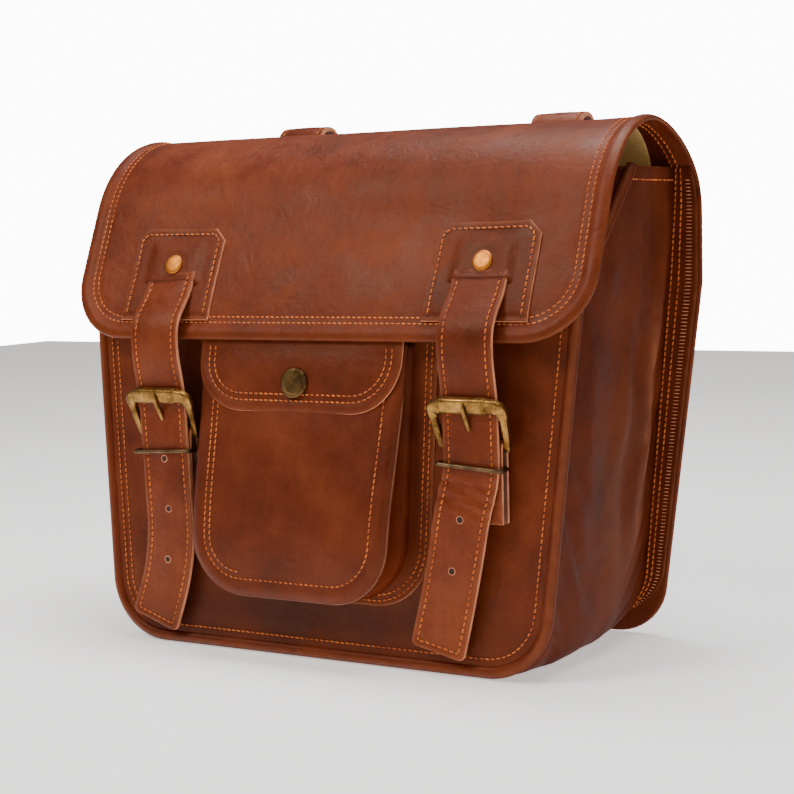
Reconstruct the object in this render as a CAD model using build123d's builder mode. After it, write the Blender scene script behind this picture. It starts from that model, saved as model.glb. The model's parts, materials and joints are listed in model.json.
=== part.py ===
from build123d import *
from math import cos, degrees, radians, sin, tan
import os

# Leather saddle bag: a U-shaped gusset joins a front panel to a wider back panel, whose
# leather carries on over the mouth as the flap.  Two straps hang from patches on the flap
# and run through pin buckles; a small pocket with its own flap sits on the front.
#
# Frame: origin in the middle of the base, on the surface the bag stands on.
# +X is to the right when facing the bag's front, the front faces -Y, +Z is up.  Millimetres.

os.makedirs("parts", exist_ok=True)

# ---------------------------------------------------------------- driving dimensions
LEATHER = 2.4                   # shell, flap and strap leather
THIN_LEATHER = 1.5              # pocket leather
LINING = 0.8
GAP = 0.3                       # play left between neighbouring pieces

# Bag body, outer faces
BACK_Y = 60.0
BASE_FRONT_Y = -64.0
SHOULDER_Y, SHOULDER_Z = -50.0, 190.0       # where the front panel starts to lean back
MOUTH_Y, MOUTH_Z = 5.0, 250.0               # top edge of the front panel
BODY_HALF_BASE, BODY_HALF_MOUTH = 132.0, 154.0
BODY_CORNER = 36.0
RIM_WIDTH, RIM_DEPTH = 3.6, 5.0             # rolled edge round the front panel
FRONT_POCKET_SPACE = 3.0                    # room for the magnets behind the front panel

# Back panel with its sewn margin
BACK_HALF_BASE, BACK_HALF_WIDE, BACK_HALF_TOP = 143.0, 168.0, 157.0
BACK_CORNER = 30.0

# Flap: two arcs over the top, then a straight front that slopes forward
CREST_Y, CREST_Z = 22.8, 274.0              # highest line of the leather's middle
REAR_ARC, FRONT_ARC = 36.0, 62.0
REAR_ARC_START_Z = CREST_Z - REAR_ARC       # where the back panel starts to curve forward
REAR_LEAN = 2.5                             # how far it has curved at the mouth's height
HINGE_ANGLE = 45.0                          # up the rear arc to the fold the flap turns about
FLAP_SLOPE = 23.0                           # of the flap's front, from the vertical
FLAP_HALF, FLAP_EDGE_Z, FLAP_CORNER = 157.0, 166.0, 36.0
FOLD_GAP = 2.2

# Straps, patches and rivets
STRAP_WIDTH, STRAP_MIDDLE_Y = 30.0, -68.5
SLIT_Z = 190.0
SLIT_X = {"left": -93.0, "right": 95.0}
BUCKLE_X = {"left": -90.5, "right": 95.5}
STRAP_TAIL = {                              # each tail's middle line below the keeper, (x, z)
    "left": ((-87.0, 70.0), (-101.0, 12.0)),
    "right": ((75.0, 12.0),),
}
SPARE_HOLES = {                             # middles of the punched holes, (x, z)
    "left": ((-90.0, 102.0), (-87.6, 75.0), (-92.6, 47.0)),
    "right": ((91.0, 80.0), (84.8, 54.0)),
}
HOLE_RADIUS, TONGUE_SLOT = 2.0, 5.0
PATCH_WIDTH, PATCH_ABOVE, PATCH_BELOW = 58.0, 37.0, 15.0
PATCH_CHAMFER, SLIT_OPENING = 7.0, 3.0
PATCH_RISE = 4.6                            # patch face above the flap
TAB_LENGTH = 24.0                           # strap end sewn in behind the patch
RIVET_ABOVE_SLIT, RIVET_CAP, RIVET_SHANK = 15.5, 11.0, 3.0
CAP_TAPER = 25.0                            # slope of the rivets' and the snap's edges

# Buckles, keepers and chapes
HEEL_Y, HEEL_Z, HEEL_RADIUS = -63.0, 115.0, 1.7
BUCKLE_WIDTH, BUCKLE_REACH, BUCKLE_TILT = 42.0, 24.5, 23.0
BUCKLE_BAR, BUCKLE_SIDE = 4.6, 4.4
BUCKLE_CORNER, TONGUE_NOTCH = 6.0, 0.9
TONGUE_WIDTH, TONGUE_THICK = 3.0, 2.2
CHAPE_LEATHER, CHAPE_BOTTOM_Z = 2.0, 78.0
KEEPER_Z, KEEPER_WIRE = 106.0, 2.2
MAGNET_RADIUS, MAGNET_THICK, MAGNET_Z = 9.0, 2.2, 90.0

# Front pocket
POCKET_X, POCKET_TAPER = -5.5, 4.0          # its sides lean out by the taper from base to top
POCKET_HALF, POCKET_BASE_Z, POCKET_TOP_Z, POCKET_CORNER = 62.5, 34.0, 165.0, 32.0
BACKING_X, BACKING_HALF, BACKING_BASE_Z, BACKING_TOP_Z = -2.0, 73.0, 31.0, 182.0
POCKET_LIP_Y, POCKET_BULGE_Y = -59.6, -66.4 # middle of the pocket front, top and mid-way
POCKET_BELLY_Y, POCKET_BELLY_Z = -82.0, 72.0
POCKET_BASE_Y = -84.5
POCKET_FOLD_Y, POCKET_FOLD_Z = -61.6, 163.0
POCKET_ROOT_Z = 178.0                       # top of the pocket flap's sewn root
POCKET_FLAP_EDGE_Y = -69.4
POCKET_FLAP_HALF, POCKET_FLAP_EDGE_Z, POCKET_FLAP_CORNER = 61.5, 129.5, 26.0
SNAP_Z, SNAP_CAP, SNAP_SOCKET, SNAP_BORE = 144.0, 15.5, 5.05, 3.0
STUD_BASE, STUD_KNOB = 3.6, 2.1

# Loops for the carrier rail, behind the top of the back panel
LOOP_X = {"left": -83.0, "right": 83.0}
LOOP_WIDTH = 30.0
RAIL_RADIUS, LOOP_LEATHER = 8.0, 2.5
RAIL_Y, RAIL_Z = 73.0, 270.0
LOOP_TAIL_Z = 205.0
LOOP_RIVETS = (11.0, 36.0)                  # heights of the two rivets above the tail's end

WIDE = 200.0                                # longer than any piece is across
SIDES = ("left", "right")


# ---------------------------------------------------------------- shared outlines
FRONT_LEAN = (SHOULDER_Y - BASE_FRONT_Y) / SHOULDER_Z      # of the front panel, per mm up


def front_face_y(z):
    """Outer face of the front panel at height z, below its shoulder."""
    return BASE_FRONT_Y + FRONT_LEAN * z


def flap_middle_y(z):
    """Middle of the flap's leather at height z, on its straight sloping front."""
    start_y, start_z = front_arc_end()
    return start_y - (start_z - z) * tan(radians(FLAP_SLOPE))


def front_arc_end():
    """Where the flap's front arc runs into its straight front."""
    turn = radians(180 - FLAP_SLOPE)
    return CREST_Y + FRONT_ARC * cos(turn), CREST_Z - FRONT_ARC + FRONT_ARC * sin(turn)


def rear_arc_point(degrees):
    """A point on the rear arc; 0 is level with its centre, 90 is the crest."""
    turn = radians(degrees)
    return CREST_Y + REAR_ARC * cos(turn), CREST_Z - REAR_ARC + REAR_ARC * sin(turn)


def tapered_outline(half_low, half_high, z_low, z_high, corner, inset=0.0, centre=0.0):
    """Front view of a panel with straight sides and two round bottom corners."""
    low = half_low - inset
    high = half_high - inset
    bottom = z_low + inset
    with BuildSketch(Plane.XZ) as outline:
        with BuildLine():
            Polyline(
                (centre - low, bottom),
                (centre + low, bottom),
                (centre + high, z_high),
                (centre - high, z_high),
                close=True,
            )
        make_face()
        fillet(outline.vertices().group_by(Axis.Y)[0], radius=corner - inset)
    return outline.sketch


def body_outline(inset=0.0):
    return tapered_outline(
        BODY_HALF_BASE, BODY_HALF_MOUTH, 0.0, MOUTH_Z + LEATHER, BODY_CORNER, inset
    )


def bent_sheet(points, radius, thickness):
    """Side view of a sheet whose middle follows straight runs joined by arcs."""
    with BuildSketch(Plane.YZ) as section:
        with BuildLine():
            FilletPolyline(*points, radius=radius)
        trace(line_width=thickness)
    return section.sketch


def front_panel_section(thickness, overrun=0.0):
    """Side view of the front panel's leather, or of anything thicker that hugs it."""
    middle = LEATHER / 2
    lean = (MOUTH_Y - SHOULDER_Y) / (MOUTH_Z - SHOULDER_Z)
    points = (
        (BASE_FRONT_Y + middle, 0.0),
        (SHOULDER_Y + middle, SHOULDER_Z),
        (MOUTH_Y + middle + lean * overrun, MOUTH_Z + overrun),
    )
    return bent_sheet(points, 40.0, thickness)


def body_room(front_inset, back_inset, base_inset):
    """Side view of the room that lies these distances inside the bag's outer faces."""
    back = BACK_Y - back_inset
    with BuildSketch(Plane.YZ) as section:
        with BuildLine():
            Polyline(
                (BASE_FRONT_Y, base_inset),
                (SHOULDER_Y, SHOULDER_Z),
                (MOUTH_Y, MOUTH_Z),
                (back - REAR_LEAN, MOUTH_Z),
                (back, REAR_ARC_START_Z),
                (back, base_inset),
                close=True,
            )
        make_face()
    front_band = front_panel_section(2 * (front_inset - LEATHER / 2), overrun=20.0)
    return (section.sketch - front_band).faces().sort_by(SortBy.AREA)[-1]


def save(piece, name):
    piece.part.label = name
    export_step(piece.part, f"parts/{name}.step")


# Plane on the flap's sloping front, its origin on the outer face at the height of the slits:
# local X runs along the bag, local Y up the slope, local Z out of the leather.
SLOPE = radians(FLAP_SLOPE)
SLIT_Y = flap_middle_y(SLIT_Z) - LEATHER / 2 / cos(SLOPE)


def slope_plane(x):
    return Plane(
        origin=(x, SLIT_Y, SLIT_Z), x_dir=(1, 0, 0), z_dir=(0, -cos(SLOPE), sin(SLOPE))
    )


# ---------------------------------------------------------------- bag body
with BuildPart() as front_panel:
    extrude(front_panel_section(LEATHER), amount=WIDE, both=True)
    extrude(body_outline(RIM_WIDTH + GAP), amount=WIDE, both=True, mode=Mode.INTERSECT)
save(front_panel, "front_panel")

with BuildPart() as front_rim:
    extrude(front_panel_section(RIM_DEPTH), amount=WIDE, both=True)
    extrude(body_outline(), amount=WIDE, both=True, mode=Mode.INTERSECT)
    extrude(body_outline(RIM_WIDTH), amount=WIDE, both=True, mode=Mode.SUBTRACT)
save(front_rim, "front_rim")

RIM_BACK = LEATHER / 2 + RIM_DEPTH / 2 + GAP
with BuildPart() as gusset:
    extrude(body_room(RIM_BACK, LEATHER + GAP, 0.0), amount=WIDE, both=True)
    extrude(body_outline(), amount=WIDE, both=True, mode=Mode.INTERSECT)
    extrude(body_outline(LEATHER), amount=WIDE, both=True, mode=Mode.SUBTRACT)
save(gusset, "gusset")

with BuildPart() as lining:
    outer = LEATHER + GAP
    extrude(
        body_room(outer + FRONT_POCKET_SPACE, outer + GAP, outer),
        amount=WIDE,
        both=True,
    )
    extrude(body_outline(outer), amount=WIDE, both=True, mode=Mode.INTERSECT)
    with BuildPart(mode=Mode.PRIVATE) as lining_room:
        inner = outer + LINING
        extrude(
            body_room(inner + FRONT_POCKET_SPACE, inner + GAP, inner),
            amount=WIDE,
            both=True,
        )
        extrude(body_outline(inner), amount=WIDE, both=True, mode=Mode.INTERSECT)
    add(lining_room.part, mode=Mode.SUBTRACT)
save(lining, "lining")

fold_backoff = degrees(FOLD_GAP / REAR_ARC)
back_centre = BACK_Y - LEATHER / 2
with BuildPart() as back_panel:
    with BuildSketch(Plane.YZ):
        with BuildLine():
            Line((back_centre, 0), (back_centre, REAR_ARC_START_Z))
            CenterArc(
                (CREST_Y, REAR_ARC_START_Z), REAR_ARC, 0, HINGE_ANGLE - fold_backoff
            )
        trace(line_width=LEATHER)
    extrude(amount=WIDE, both=True)
    with BuildSketch(Plane.XZ) as margin:
        with BuildLine():
            Polyline(
                (-BACK_HALF_BASE, 0),
                (BACK_HALF_BASE, 0),
                (BACK_HALF_WIDE, SHOULDER_Z),
                (BACK_HALF_WIDE, REAR_ARC_START_Z),
                (BACK_HALF_TOP, CREST_Z),
                (-BACK_HALF_TOP, CREST_Z),
                (-BACK_HALF_WIDE, REAR_ARC_START_Z),
                (-BACK_HALF_WIDE, SHOULDER_Z),
                close=True,
            )
        make_face()
        fillet(margin.vertices().group_by(Axis.Y)[0], radius=BACK_CORNER)
    extrude(amount=WIDE, both=True, mode=Mode.INTERSECT)
save(back_panel, "back_panel")

for side in SIDES:
    magnet_face = front_face_y(MAGNET_Z) + LEATHER + GAP
    magnet_plane = Plane(
        origin=(BUCKLE_X[side], magnet_face, MAGNET_Z), z_dir=(0, 1, -FRONT_LEAN)
    )
    with BuildPart(magnet_plane) as body_magnet:
        Cylinder(
            MAGNET_RADIUS, MAGNET_THICK, align=(Align.CENTER, Align.CENTER, Align.MIN)
        )
    save(body_magnet, f"{side}_body_magnet")

# ---------------------------------------------------------------- carrier loops
for side in SIDES:
    tail_face = BACK_Y + GAP
    tail_depth = 2 * LOOP_LEATHER
    outer_radius = RAIL_RADIUS + LOOP_LEATHER
    with BuildPart() as rail_loop:
        with BuildSketch(Plane.YZ.offset(LOOP_X[side])):
            with Locations((RAIL_Y, RAIL_Z)):
                Circle(outer_radius)
            with BuildLine():
                Polyline(
                    (tail_face, LOOP_TAIL_Z),
                    (tail_face + tail_depth, LOOP_TAIL_Z),
                    (tail_face + tail_depth, RAIL_Z - outer_radius - 4),
                    (RAIL_Y + 4, RAIL_Z - outer_radius + 1),
                    (RAIL_Y - 6, RAIL_Z - 4),
                    (tail_face, RAIL_Z - outer_radius - 8),
                    close=True,
                )
            make_face()
            with Locations((RAIL_Y, RAIL_Z)):
                Circle(RAIL_RADIUS, mode=Mode.SUBTRACT)
        extrude(amount=LOOP_WIDTH / 2, both=True)
    save(rail_loop, f"{side}_rail_loop")

    with BuildPart() as loop_rivets:
        cap_face = tail_face + tail_depth + GAP
        cap_plane = Plane(
            origin=(LOOP_X[side], cap_face, LOOP_TAIL_Z), x_dir=(0, 0, 1), z_dir=(0, 1, 0)
        )
        with BuildSketch(cap_plane):
            with Locations(*[(height, 0) for height in LOOP_RIVETS]):
                Circle(RIVET_CAP / 2)
        extrude(amount=1.6, taper=CAP_TAPER)
    save(loop_rivets, f"{side}_loop_rivets")

# ---------------------------------------------------------------- flap
hinge_y, hinge_z = rear_arc_point(HINGE_ANGLE)
with BuildPart() as flap:
    with BuildSketch(Plane.YZ):
        with BuildLine():
            CenterArc(
                (CREST_Y, REAR_ARC_START_Z), REAR_ARC, HINGE_ANGLE, 90 - HINGE_ANGLE
            )
            CenterArc((CREST_Y, CREST_Z - FRONT_ARC), FRONT_ARC, 90, 90 - FLAP_SLOPE)
            Line(front_arc_end(), (flap_middle_y(FLAP_EDGE_Z), FLAP_EDGE_Z))
        trace(line_width=LEATHER)
        with Locations((hinge_y, hinge_z)):
            Circle(LEATHER / 2)
    extrude(amount=WIDE, both=True)
    flap_outline = tapered_outline(
        FLAP_HALF, FLAP_HALF, FLAP_EDGE_Z, CREST_Z + LEATHER, FLAP_CORNER
    )
    extrude(flap_outline, amount=WIDE, both=True, mode=Mode.INTERSECT)
    for side in SIDES:
        with BuildSketch(slope_plane(SLIT_X[side])):
            with Locations((0, RIVET_ABOVE_SLIT)):
                Circle(RIVET_SHANK / 2 + GAP / 3)
        extrude(amount=2 * LEATHER, both=True, mode=Mode.SUBTRACT)
save(flap, "flap")

for side in SIDES:
    plane = slope_plane(SLIT_X[side])

    with BuildPart() as strap_tab:
        with BuildSketch(plane.offset(GAP)):
            with Locations((0, TAB_LENGTH / 2 + 1)):
                Rectangle(STRAP_WIDTH, TAB_LENGTH)
            with Locations((0, RIVET_ABOVE_SLIT)):
                Circle(RIVET_SHANK / 2 + GAP / 3, mode=Mode.SUBTRACT)
        extrude(amount=LEATHER)
    save(strap_tab, f"{side}_strap_tab")

    with BuildPart() as patch:
        with BuildSketch(plane.offset(GAP)) as patch_face:
            with Locations((0, (PATCH_ABOVE - PATCH_BELOW) / 2)):
                Rectangle(PATCH_WIDTH, PATCH_ABOVE + PATCH_BELOW)
            chamfer(patch_face.vertices().group_by(Axis.Y)[-1], length=PATCH_CHAMFER)
            with Locations((0, RIVET_ABOVE_SLIT)):
                Circle(RIVET_SHANK / 2 + GAP / 3, mode=Mode.SUBTRACT)
        extrude(amount=PATCH_RISE - GAP)
        with BuildSketch(plane.offset(GAP)):
            with Locations((0, TAB_LENGTH / 2)):
                Rectangle(STRAP_WIDTH + 2 * GAP, TAB_LENGTH + 4)
        extrude(amount=LEATHER + GAP, mode=Mode.SUBTRACT)
        with BuildSketch(plane):
            Rectangle(STRAP_WIDTH + SLIT_OPENING, SLIT_OPENING)
        extrude(amount=PATCH_RISE + GAP, mode=Mode.SUBTRACT)
    save(patch, f"{side}_patch")

    with BuildPart() as strap_rivet:
        with BuildSketch(plane.offset(PATCH_RISE + GAP)):
            with Locations((0, RIVET_ABOVE_SLIT)):
                Circle(RIVET_CAP / 2)
        extrude(amount=1.8, taper=CAP_TAPER)
        with BuildSketch(plane.offset(-LEATHER - GAP)):
            with Locations((0, RIVET_ABOVE_SLIT)):
                Circle(RIVET_SHANK / 2)
        extrude(amount=PATCH_RISE + LEATHER + 2 * GAP)
        with BuildSketch(plane.offset(-LEATHER - GAP)):
            with Locations((0, RIVET_ABOVE_SLIT)):
                Circle(RIVET_CAP / 2 - 1)
        extrude(amount=-1.2)
    save(strap_rivet, f"{side}_strap_rivet")

# ---------------------------------------------------------------- straps and buckles
heel_to_bar = Vector(0, -sin(radians(BUCKLE_TILT)), cos(radians(BUCKLE_TILT)))
tongue_hole_z = HEEL_Z + 9.5
BUCKLE_TOP_Z = HEEL_Z + 13.0

for side in SIDES:
    centre = BUCKLE_X[side]

    with BuildPart() as strap:
        with BuildSketch(Plane.YZ):
            with BuildLine():
                FilletPolyline(
                    (SLIT_Y - 7.4, SLIT_Z - 0.5),
                    (-70.8, 170.0),
                    (-70.6, 158.0),
                    (STRAP_MIDDLE_Y, 140.0),
                    (STRAP_MIDDLE_Y, STRAP_TAIL[side][-1][1]),
                    radius=10,
                )
            trace(line_width=LEATHER)
        extrude(amount=WIDE, both=True)
        with BuildSketch(Plane.XZ):
            with BuildLine():
                FilletPolyline(
                    (SLIT_X[side], SLIT_Z + 4),
                    (centre, BUCKLE_TOP_Z),
                    (centre, KEEPER_Z - 6),
                    *STRAP_TAIL[side],
                    radius=60,
                )
            trace(line_width=STRAP_WIDTH)
        extrude(amount=WIDE, both=True, mode=Mode.INTERSECT)
        with BuildSketch(Plane.XZ):
            with Locations((centre, tongue_hole_z)):
                SlotCenterToCenter(TONGUE_SLOT, 2 * HOLE_RADIUS + 1, rotation=90)
            with Locations(*SPARE_HOLES[side]):
                Circle(HOLE_RADIUS)
        extrude(amount=WIDE, both=True, mode=Mode.SUBTRACT)
    save(strap, f"{side}_strap")

    frame_plane = Plane(
        origin=(centre, HEEL_Y, HEEL_Z),
        x_dir=(1, 0, 0),
        z_dir=(0, -heel_to_bar.Z, heel_to_bar.Y),
    )
    with BuildPart() as buckle:
        with BuildSketch(frame_plane) as frame_face:
            with Locations((0, BUCKLE_REACH / 2)):
                RectangleRounded(BUCKLE_WIDTH, BUCKLE_REACH + 2 * HEEL_RADIUS, BUCKLE_CORNER)
            with Locations((0, (BUCKLE_REACH - BUCKLE_BAR + 2 * HEEL_RADIUS) / 2)):
                RectangleRounded(
                    BUCKLE_WIDTH - 2 * BUCKLE_SIDE, BUCKLE_REACH - BUCKLE_BAR, 2,
                    mode=Mode.SUBTRACT,
                )
        extrude(amount=HEEL_RADIUS, both=True)
        fillet(buckle.edges().filter_by(frame_plane), radius=HEEL_RADIUS - 0.05)
        with BuildSketch(frame_plane.offset(HEEL_RADIUS)):
            with Locations((0, BUCKLE_REACH)):
                Rectangle(TONGUE_WIDTH + 1, BUCKLE_BAR + 4)
        extrude(amount=-TONGUE_NOTCH, mode=Mode.SUBTRACT)
    save(buckle, f"{side}_buckle")

    with BuildPart() as tongue:
        with BuildSketch(Plane.YZ.offset(centre)):
            with BuildLine():
                FilletPolyline(
                    (HEEL_Y - 2.8, HEEL_Z + 0.5),
                    (HEEL_Y - 2.4, HEEL_Z + 6),
                    (HEEL_Y - 11.2, HEEL_Z + 18),
                    (HEEL_Y - 12.4, HEEL_Z + 26),
                    radius=3,
                )
            trace(line_width=TONGUE_THICK)
            with Locations((HEEL_Y, HEEL_Z)):
                Circle(HEEL_RADIUS + TONGUE_THICK)
                Circle(HEEL_RADIUS + 0.08, mode=Mode.SUBTRACT)
        extrude(amount=TONGUE_WIDTH / 2, both=True)
    save(tongue, f"{side}_tongue")

    fold_radius = HEEL_RADIUS + 0.2 + CHAPE_LEATHER / 2
    with BuildPart() as chape:
        with BuildSketch(Plane.YZ.offset(centre)):
            with BuildLine():
                Line((HEEL_Y + fold_radius, CHAPE_BOTTOM_Z), (HEEL_Y + fold_radius, HEEL_Z))
                CenterArc((HEEL_Y, HEEL_Z), fold_radius, 0, 180)
                Line((HEEL_Y - fold_radius, HEEL_Z), (HEEL_Y - fold_radius, CHAPE_BOTTOM_Z))
            trace(line_width=CHAPE_LEATHER)
        extrude(amount=STRAP_WIDTH / 2, both=True)
        with BuildSketch(Plane.XZ):
            with Locations((centre, HEEL_Z + 2)):
                SlotCenterToCenter(9, TONGUE_WIDTH + 2, rotation=90)
        extrude(amount=WIDE, both=True, mode=Mode.SUBTRACT)
    save(chape, f"{side}_chape")

    chape_magnet_plane = Plane(
        origin=(centre, HEEL_Y + HEEL_RADIUS, MAGNET_Z), z_dir=(0, -1, 0)
    )
    with BuildPart(chape_magnet_plane) as strap_magnet:
        Cylinder(
            MAGNET_RADIUS, MAGNET_THICK, align=(Align.CENTER, Align.CENTER, Align.MIN)
        )
    save(strap_magnet, f"{side}_strap_magnet")

    keeper_front_y = STRAP_MIDDLE_Y - LEATHER / 2 - GAP - KEEPER_WIRE / 2
    keeper_half = STRAP_WIDTH / 2 + 1.2 + KEEPER_WIRE / 2
    with BuildPart() as keeper:
        with BuildLine(Plane.XY.offset(KEEPER_Z)) as wire_path:
            FilletPolyline(
                (centre - keeper_half, keeper_front_y),
                (centre + keeper_half, keeper_front_y),
                (centre + keeper_half, HEEL_Y),
                (centre - keeper_half, HEEL_Y),
                radius=2,
                close=True,
            )
        with BuildSketch(Plane(origin=wire_path.line @ 0.1, z_dir=wire_path.line % 0.1)):
            Circle(KEEPER_WIRE / 2)
        sweep()
    save(keeper, f"{side}_keeper")

# ---------------------------------------------------------------- front pocket
backing_y = BASE_FRONT_Y - GAP - THIN_LEATHER / 2


def pocket_outline(half, base_z, top_z, corner, centre=POCKET_X):
    return tapered_outline(half - POCKET_TAPER, half, base_z, top_z, corner, centre=centre)


with BuildPart() as pocket_backing:
    with BuildSketch(Plane.YZ):
        with BuildLine():
            Line((backing_y, 0), (backing_y + FRONT_LEAN * SHOULDER_Z, SHOULDER_Z))
        trace(line_width=THIN_LEATHER)
    extrude(amount=WIDE, both=True)
    backing_outline = pocket_outline(
        BACKING_HALF, BACKING_BASE_Z, BACKING_TOP_Z, POCKET_CORNER, BACKING_X
    )
    extrude(backing_outline, amount=WIDE, both=True, mode=Mode.INTERSECT)
save(pocket_backing, "pocket_backing")

POCKET_FRONT = (
    (POCKET_LIP_Y, POCKET_TOP_Z),
    (POCKET_BULGE_Y, POCKET_FLAP_EDGE_Z),
    (POCKET_BELLY_Y, POCKET_BELLY_Z),
    (POCKET_BASE_Y, POCKET_BASE_Z),
)
with BuildPart() as pocket_front:
    extrude(bent_sheet(POCKET_FRONT, 30.0, THIN_LEATHER), amount=WIDE, both=True)
    extrude(
        pocket_outline(POCKET_HALF, POCKET_BASE_Z, POCKET_TOP_Z, POCKET_CORNER),
        amount=WIDE,
        both=True,
        mode=Mode.INTERSECT,
    )
save(pocket_front, "pocket_front")

with BuildPart() as pocket_gusset:
    clear = THIN_LEATHER / 2 + GAP
    with BuildSketch(Plane.YZ):
        with BuildLine():
            Polyline(
                *[(y + clear, z) for y, z in POCKET_FRONT],
                (backing_y - clear + FRONT_LEAN * POCKET_BASE_Z, POCKET_BASE_Z),
                (backing_y - clear + FRONT_LEAN * POCKET_TOP_Z, POCKET_TOP_Z),
                close=True,
            )
        make_face()
    extrude(amount=WIDE, both=True)
    extrude(
        pocket_outline(POCKET_HALF - 1, POCKET_BASE_Z + 1, POCKET_TOP_Z, POCKET_CORNER - 1),
        amount=WIDE,
        both=True,
        mode=Mode.INTERSECT,
    )
    wall = 1 + THIN_LEATHER
    extrude(
        pocket_outline(
            POCKET_HALF - wall, POCKET_BASE_Z + wall, MOUTH_Z, POCKET_CORNER - wall
        ),
        amount=WIDE,
        both=True,
        mode=Mode.SUBTRACT,
    )
save(pocket_gusset, "pocket_gusset")

pocket_flap_outline = pocket_outline(
    POCKET_FLAP_HALF, POCKET_FLAP_EDGE_Z, SHOULDER_Z, POCKET_FLAP_CORNER
)
with BuildPart() as pocket_flap_root:
    root_start_y = backing_y - THIN_LEATHER - GAP + FRONT_LEAN * POCKET_ROOT_Z
    root_start = (root_start_y, POCKET_ROOT_Z)
    root_bend = (POCKET_FOLD_Y + 1.0, POCKET_FOLD_Z + 5.2)
    fold_start = (POCKET_FOLD_Y, POCKET_FOLD_Z + 1.6)
    extrude(
        bent_sheet((root_start, root_bend, fold_start), 3.0, THIN_LEATHER),
        amount=WIDE,
        both=True,
    )
    extrude(pocket_flap_outline, amount=WIDE, both=True, mode=Mode.INTERSECT)
save(pocket_flap_root, "pocket_flap_root")

with BuildPart() as pocket_flap:
    with BuildSketch(Plane.YZ):
        with BuildLine():
            Line(
                (POCKET_FOLD_Y, POCKET_FOLD_Z),
                (POCKET_FLAP_EDGE_Y, POCKET_FLAP_EDGE_Z),
            )
        trace(line_width=THIN_LEATHER)
        with Locations((POCKET_FOLD_Y, POCKET_FOLD_Z)):
            Circle(THIN_LEATHER / 2)
    extrude(amount=WIDE, both=True)
    extrude(pocket_flap_outline, amount=WIDE, both=True, mode=Mode.INTERSECT)
    with BuildSketch(Plane.XZ):
        with Locations((POCKET_X, SNAP_Z)):
            Circle(SNAP_SOCKET + GAP)
    extrude(amount=WIDE, both=True, mode=Mode.SUBTRACT)
save(pocket_flap, "pocket_flap")

flap_lean = (POCKET_FLAP_EDGE_Y - POCKET_FOLD_Y) / (POCKET_FLAP_EDGE_Z - POCKET_FOLD_Z)
snap_y = POCKET_FOLD_Y + flap_lean * (SNAP_Z - POCKET_FOLD_Z)
snap_plane = Plane(origin=(POCKET_X, snap_y, SNAP_Z), z_dir=(0, -1, flap_lean))
with BuildPart() as snap_cap:
    with BuildSketch(snap_plane.offset(THIN_LEATHER / 2 + GAP / 2)):
        Circle(SNAP_CAP / 2)
    extrude(amount=2.0, taper=CAP_TAPER)
    with BuildSketch(snap_plane.offset(-THIN_LEATHER / 2)):
        Circle(SNAP_SOCKET)
        Circle(SNAP_BORE, mode=Mode.SUBTRACT)
    extrude(amount=THIN_LEATHER + GAP)
save(snap_cap, "snap_cap")

lip_lean = (POCKET_BULGE_Y - POCKET_LIP_Y) / (POCKET_FLAP_EDGE_Z - POCKET_TOP_Z)
stud_y = POCKET_LIP_Y + lip_lean * (SNAP_Z - POCKET_TOP_Z) - THIN_LEATHER / 2
stud_base = Plane(origin=(POCKET_X, stud_y - GAP / 3, SNAP_Z), z_dir=(0, -1, lip_lean))
with BuildPart() as snap_stud:
    with BuildSketch(stud_base):
        Circle(STUD_BASE)
    extrude(amount=0.35)
    with BuildSketch(stud_base):
        Circle(STUD_KNOB)
    extrude(amount=1.4)
save(snap_stud, "snap_stud")
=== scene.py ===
import json
from math import acos, cos, hypot, pi, radians, sin, tan

import bpy
import numpy as np
from mathutils import Matrix, Vector


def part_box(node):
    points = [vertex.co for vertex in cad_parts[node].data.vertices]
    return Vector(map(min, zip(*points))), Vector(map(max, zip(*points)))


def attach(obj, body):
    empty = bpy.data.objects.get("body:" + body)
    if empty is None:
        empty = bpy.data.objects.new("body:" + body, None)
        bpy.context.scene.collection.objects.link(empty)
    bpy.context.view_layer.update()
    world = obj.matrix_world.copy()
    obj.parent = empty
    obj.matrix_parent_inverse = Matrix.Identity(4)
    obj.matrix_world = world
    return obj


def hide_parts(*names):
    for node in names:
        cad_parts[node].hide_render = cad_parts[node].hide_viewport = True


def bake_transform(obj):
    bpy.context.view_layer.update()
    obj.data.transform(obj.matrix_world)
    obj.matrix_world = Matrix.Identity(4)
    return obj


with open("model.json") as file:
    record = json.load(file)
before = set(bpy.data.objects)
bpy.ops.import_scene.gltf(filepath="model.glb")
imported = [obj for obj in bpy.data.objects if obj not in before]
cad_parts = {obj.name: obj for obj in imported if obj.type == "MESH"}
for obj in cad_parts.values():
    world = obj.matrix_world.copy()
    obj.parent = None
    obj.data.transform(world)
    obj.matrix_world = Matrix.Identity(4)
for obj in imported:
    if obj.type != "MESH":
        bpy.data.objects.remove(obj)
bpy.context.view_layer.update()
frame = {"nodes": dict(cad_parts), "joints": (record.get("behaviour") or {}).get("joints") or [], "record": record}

# Looks of a leather saddle bag.  Lengths in this script are millimetres in the part's frame
# (+X to the bag's right, front towards -Y, +Z up), and become metres when a mesh is made.

MM = 0.001
RANDOM = np.random.default_rng(7)


# ---------------------------------------------------------------- places read from the frame
def low(node):
    return np.array(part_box(node)[0]) / MM


def high(node):
    return np.array(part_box(node)[1]) / MM


def middle(node):
    return (low(node) + high(node)) / 2


def place_of(name, items):
    """Where the frame puts a joint or a mount."""
    for item in items:
        if item["name"] == name:
            return np.array(item["pos_m"]) / MM
    raise ValueError(name)


LEATHER = 2.4
THIN = 1.5
LINING = 0.6
BACK_Y = high("back_panel")[1]
FRONT_Y = low("front_panel")[1]
BACK_HALF = high("back_panel")[0]
FLAP_HALF = high("flap")[0]
FLAP_EDGE_Z = low("flap")[2]
CREST_Z = high("flap")[2] - LEATHER / 2
MOUTH_Z = high("gusset")[2]
BODY_HALF = high("front_rim")[0]

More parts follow.
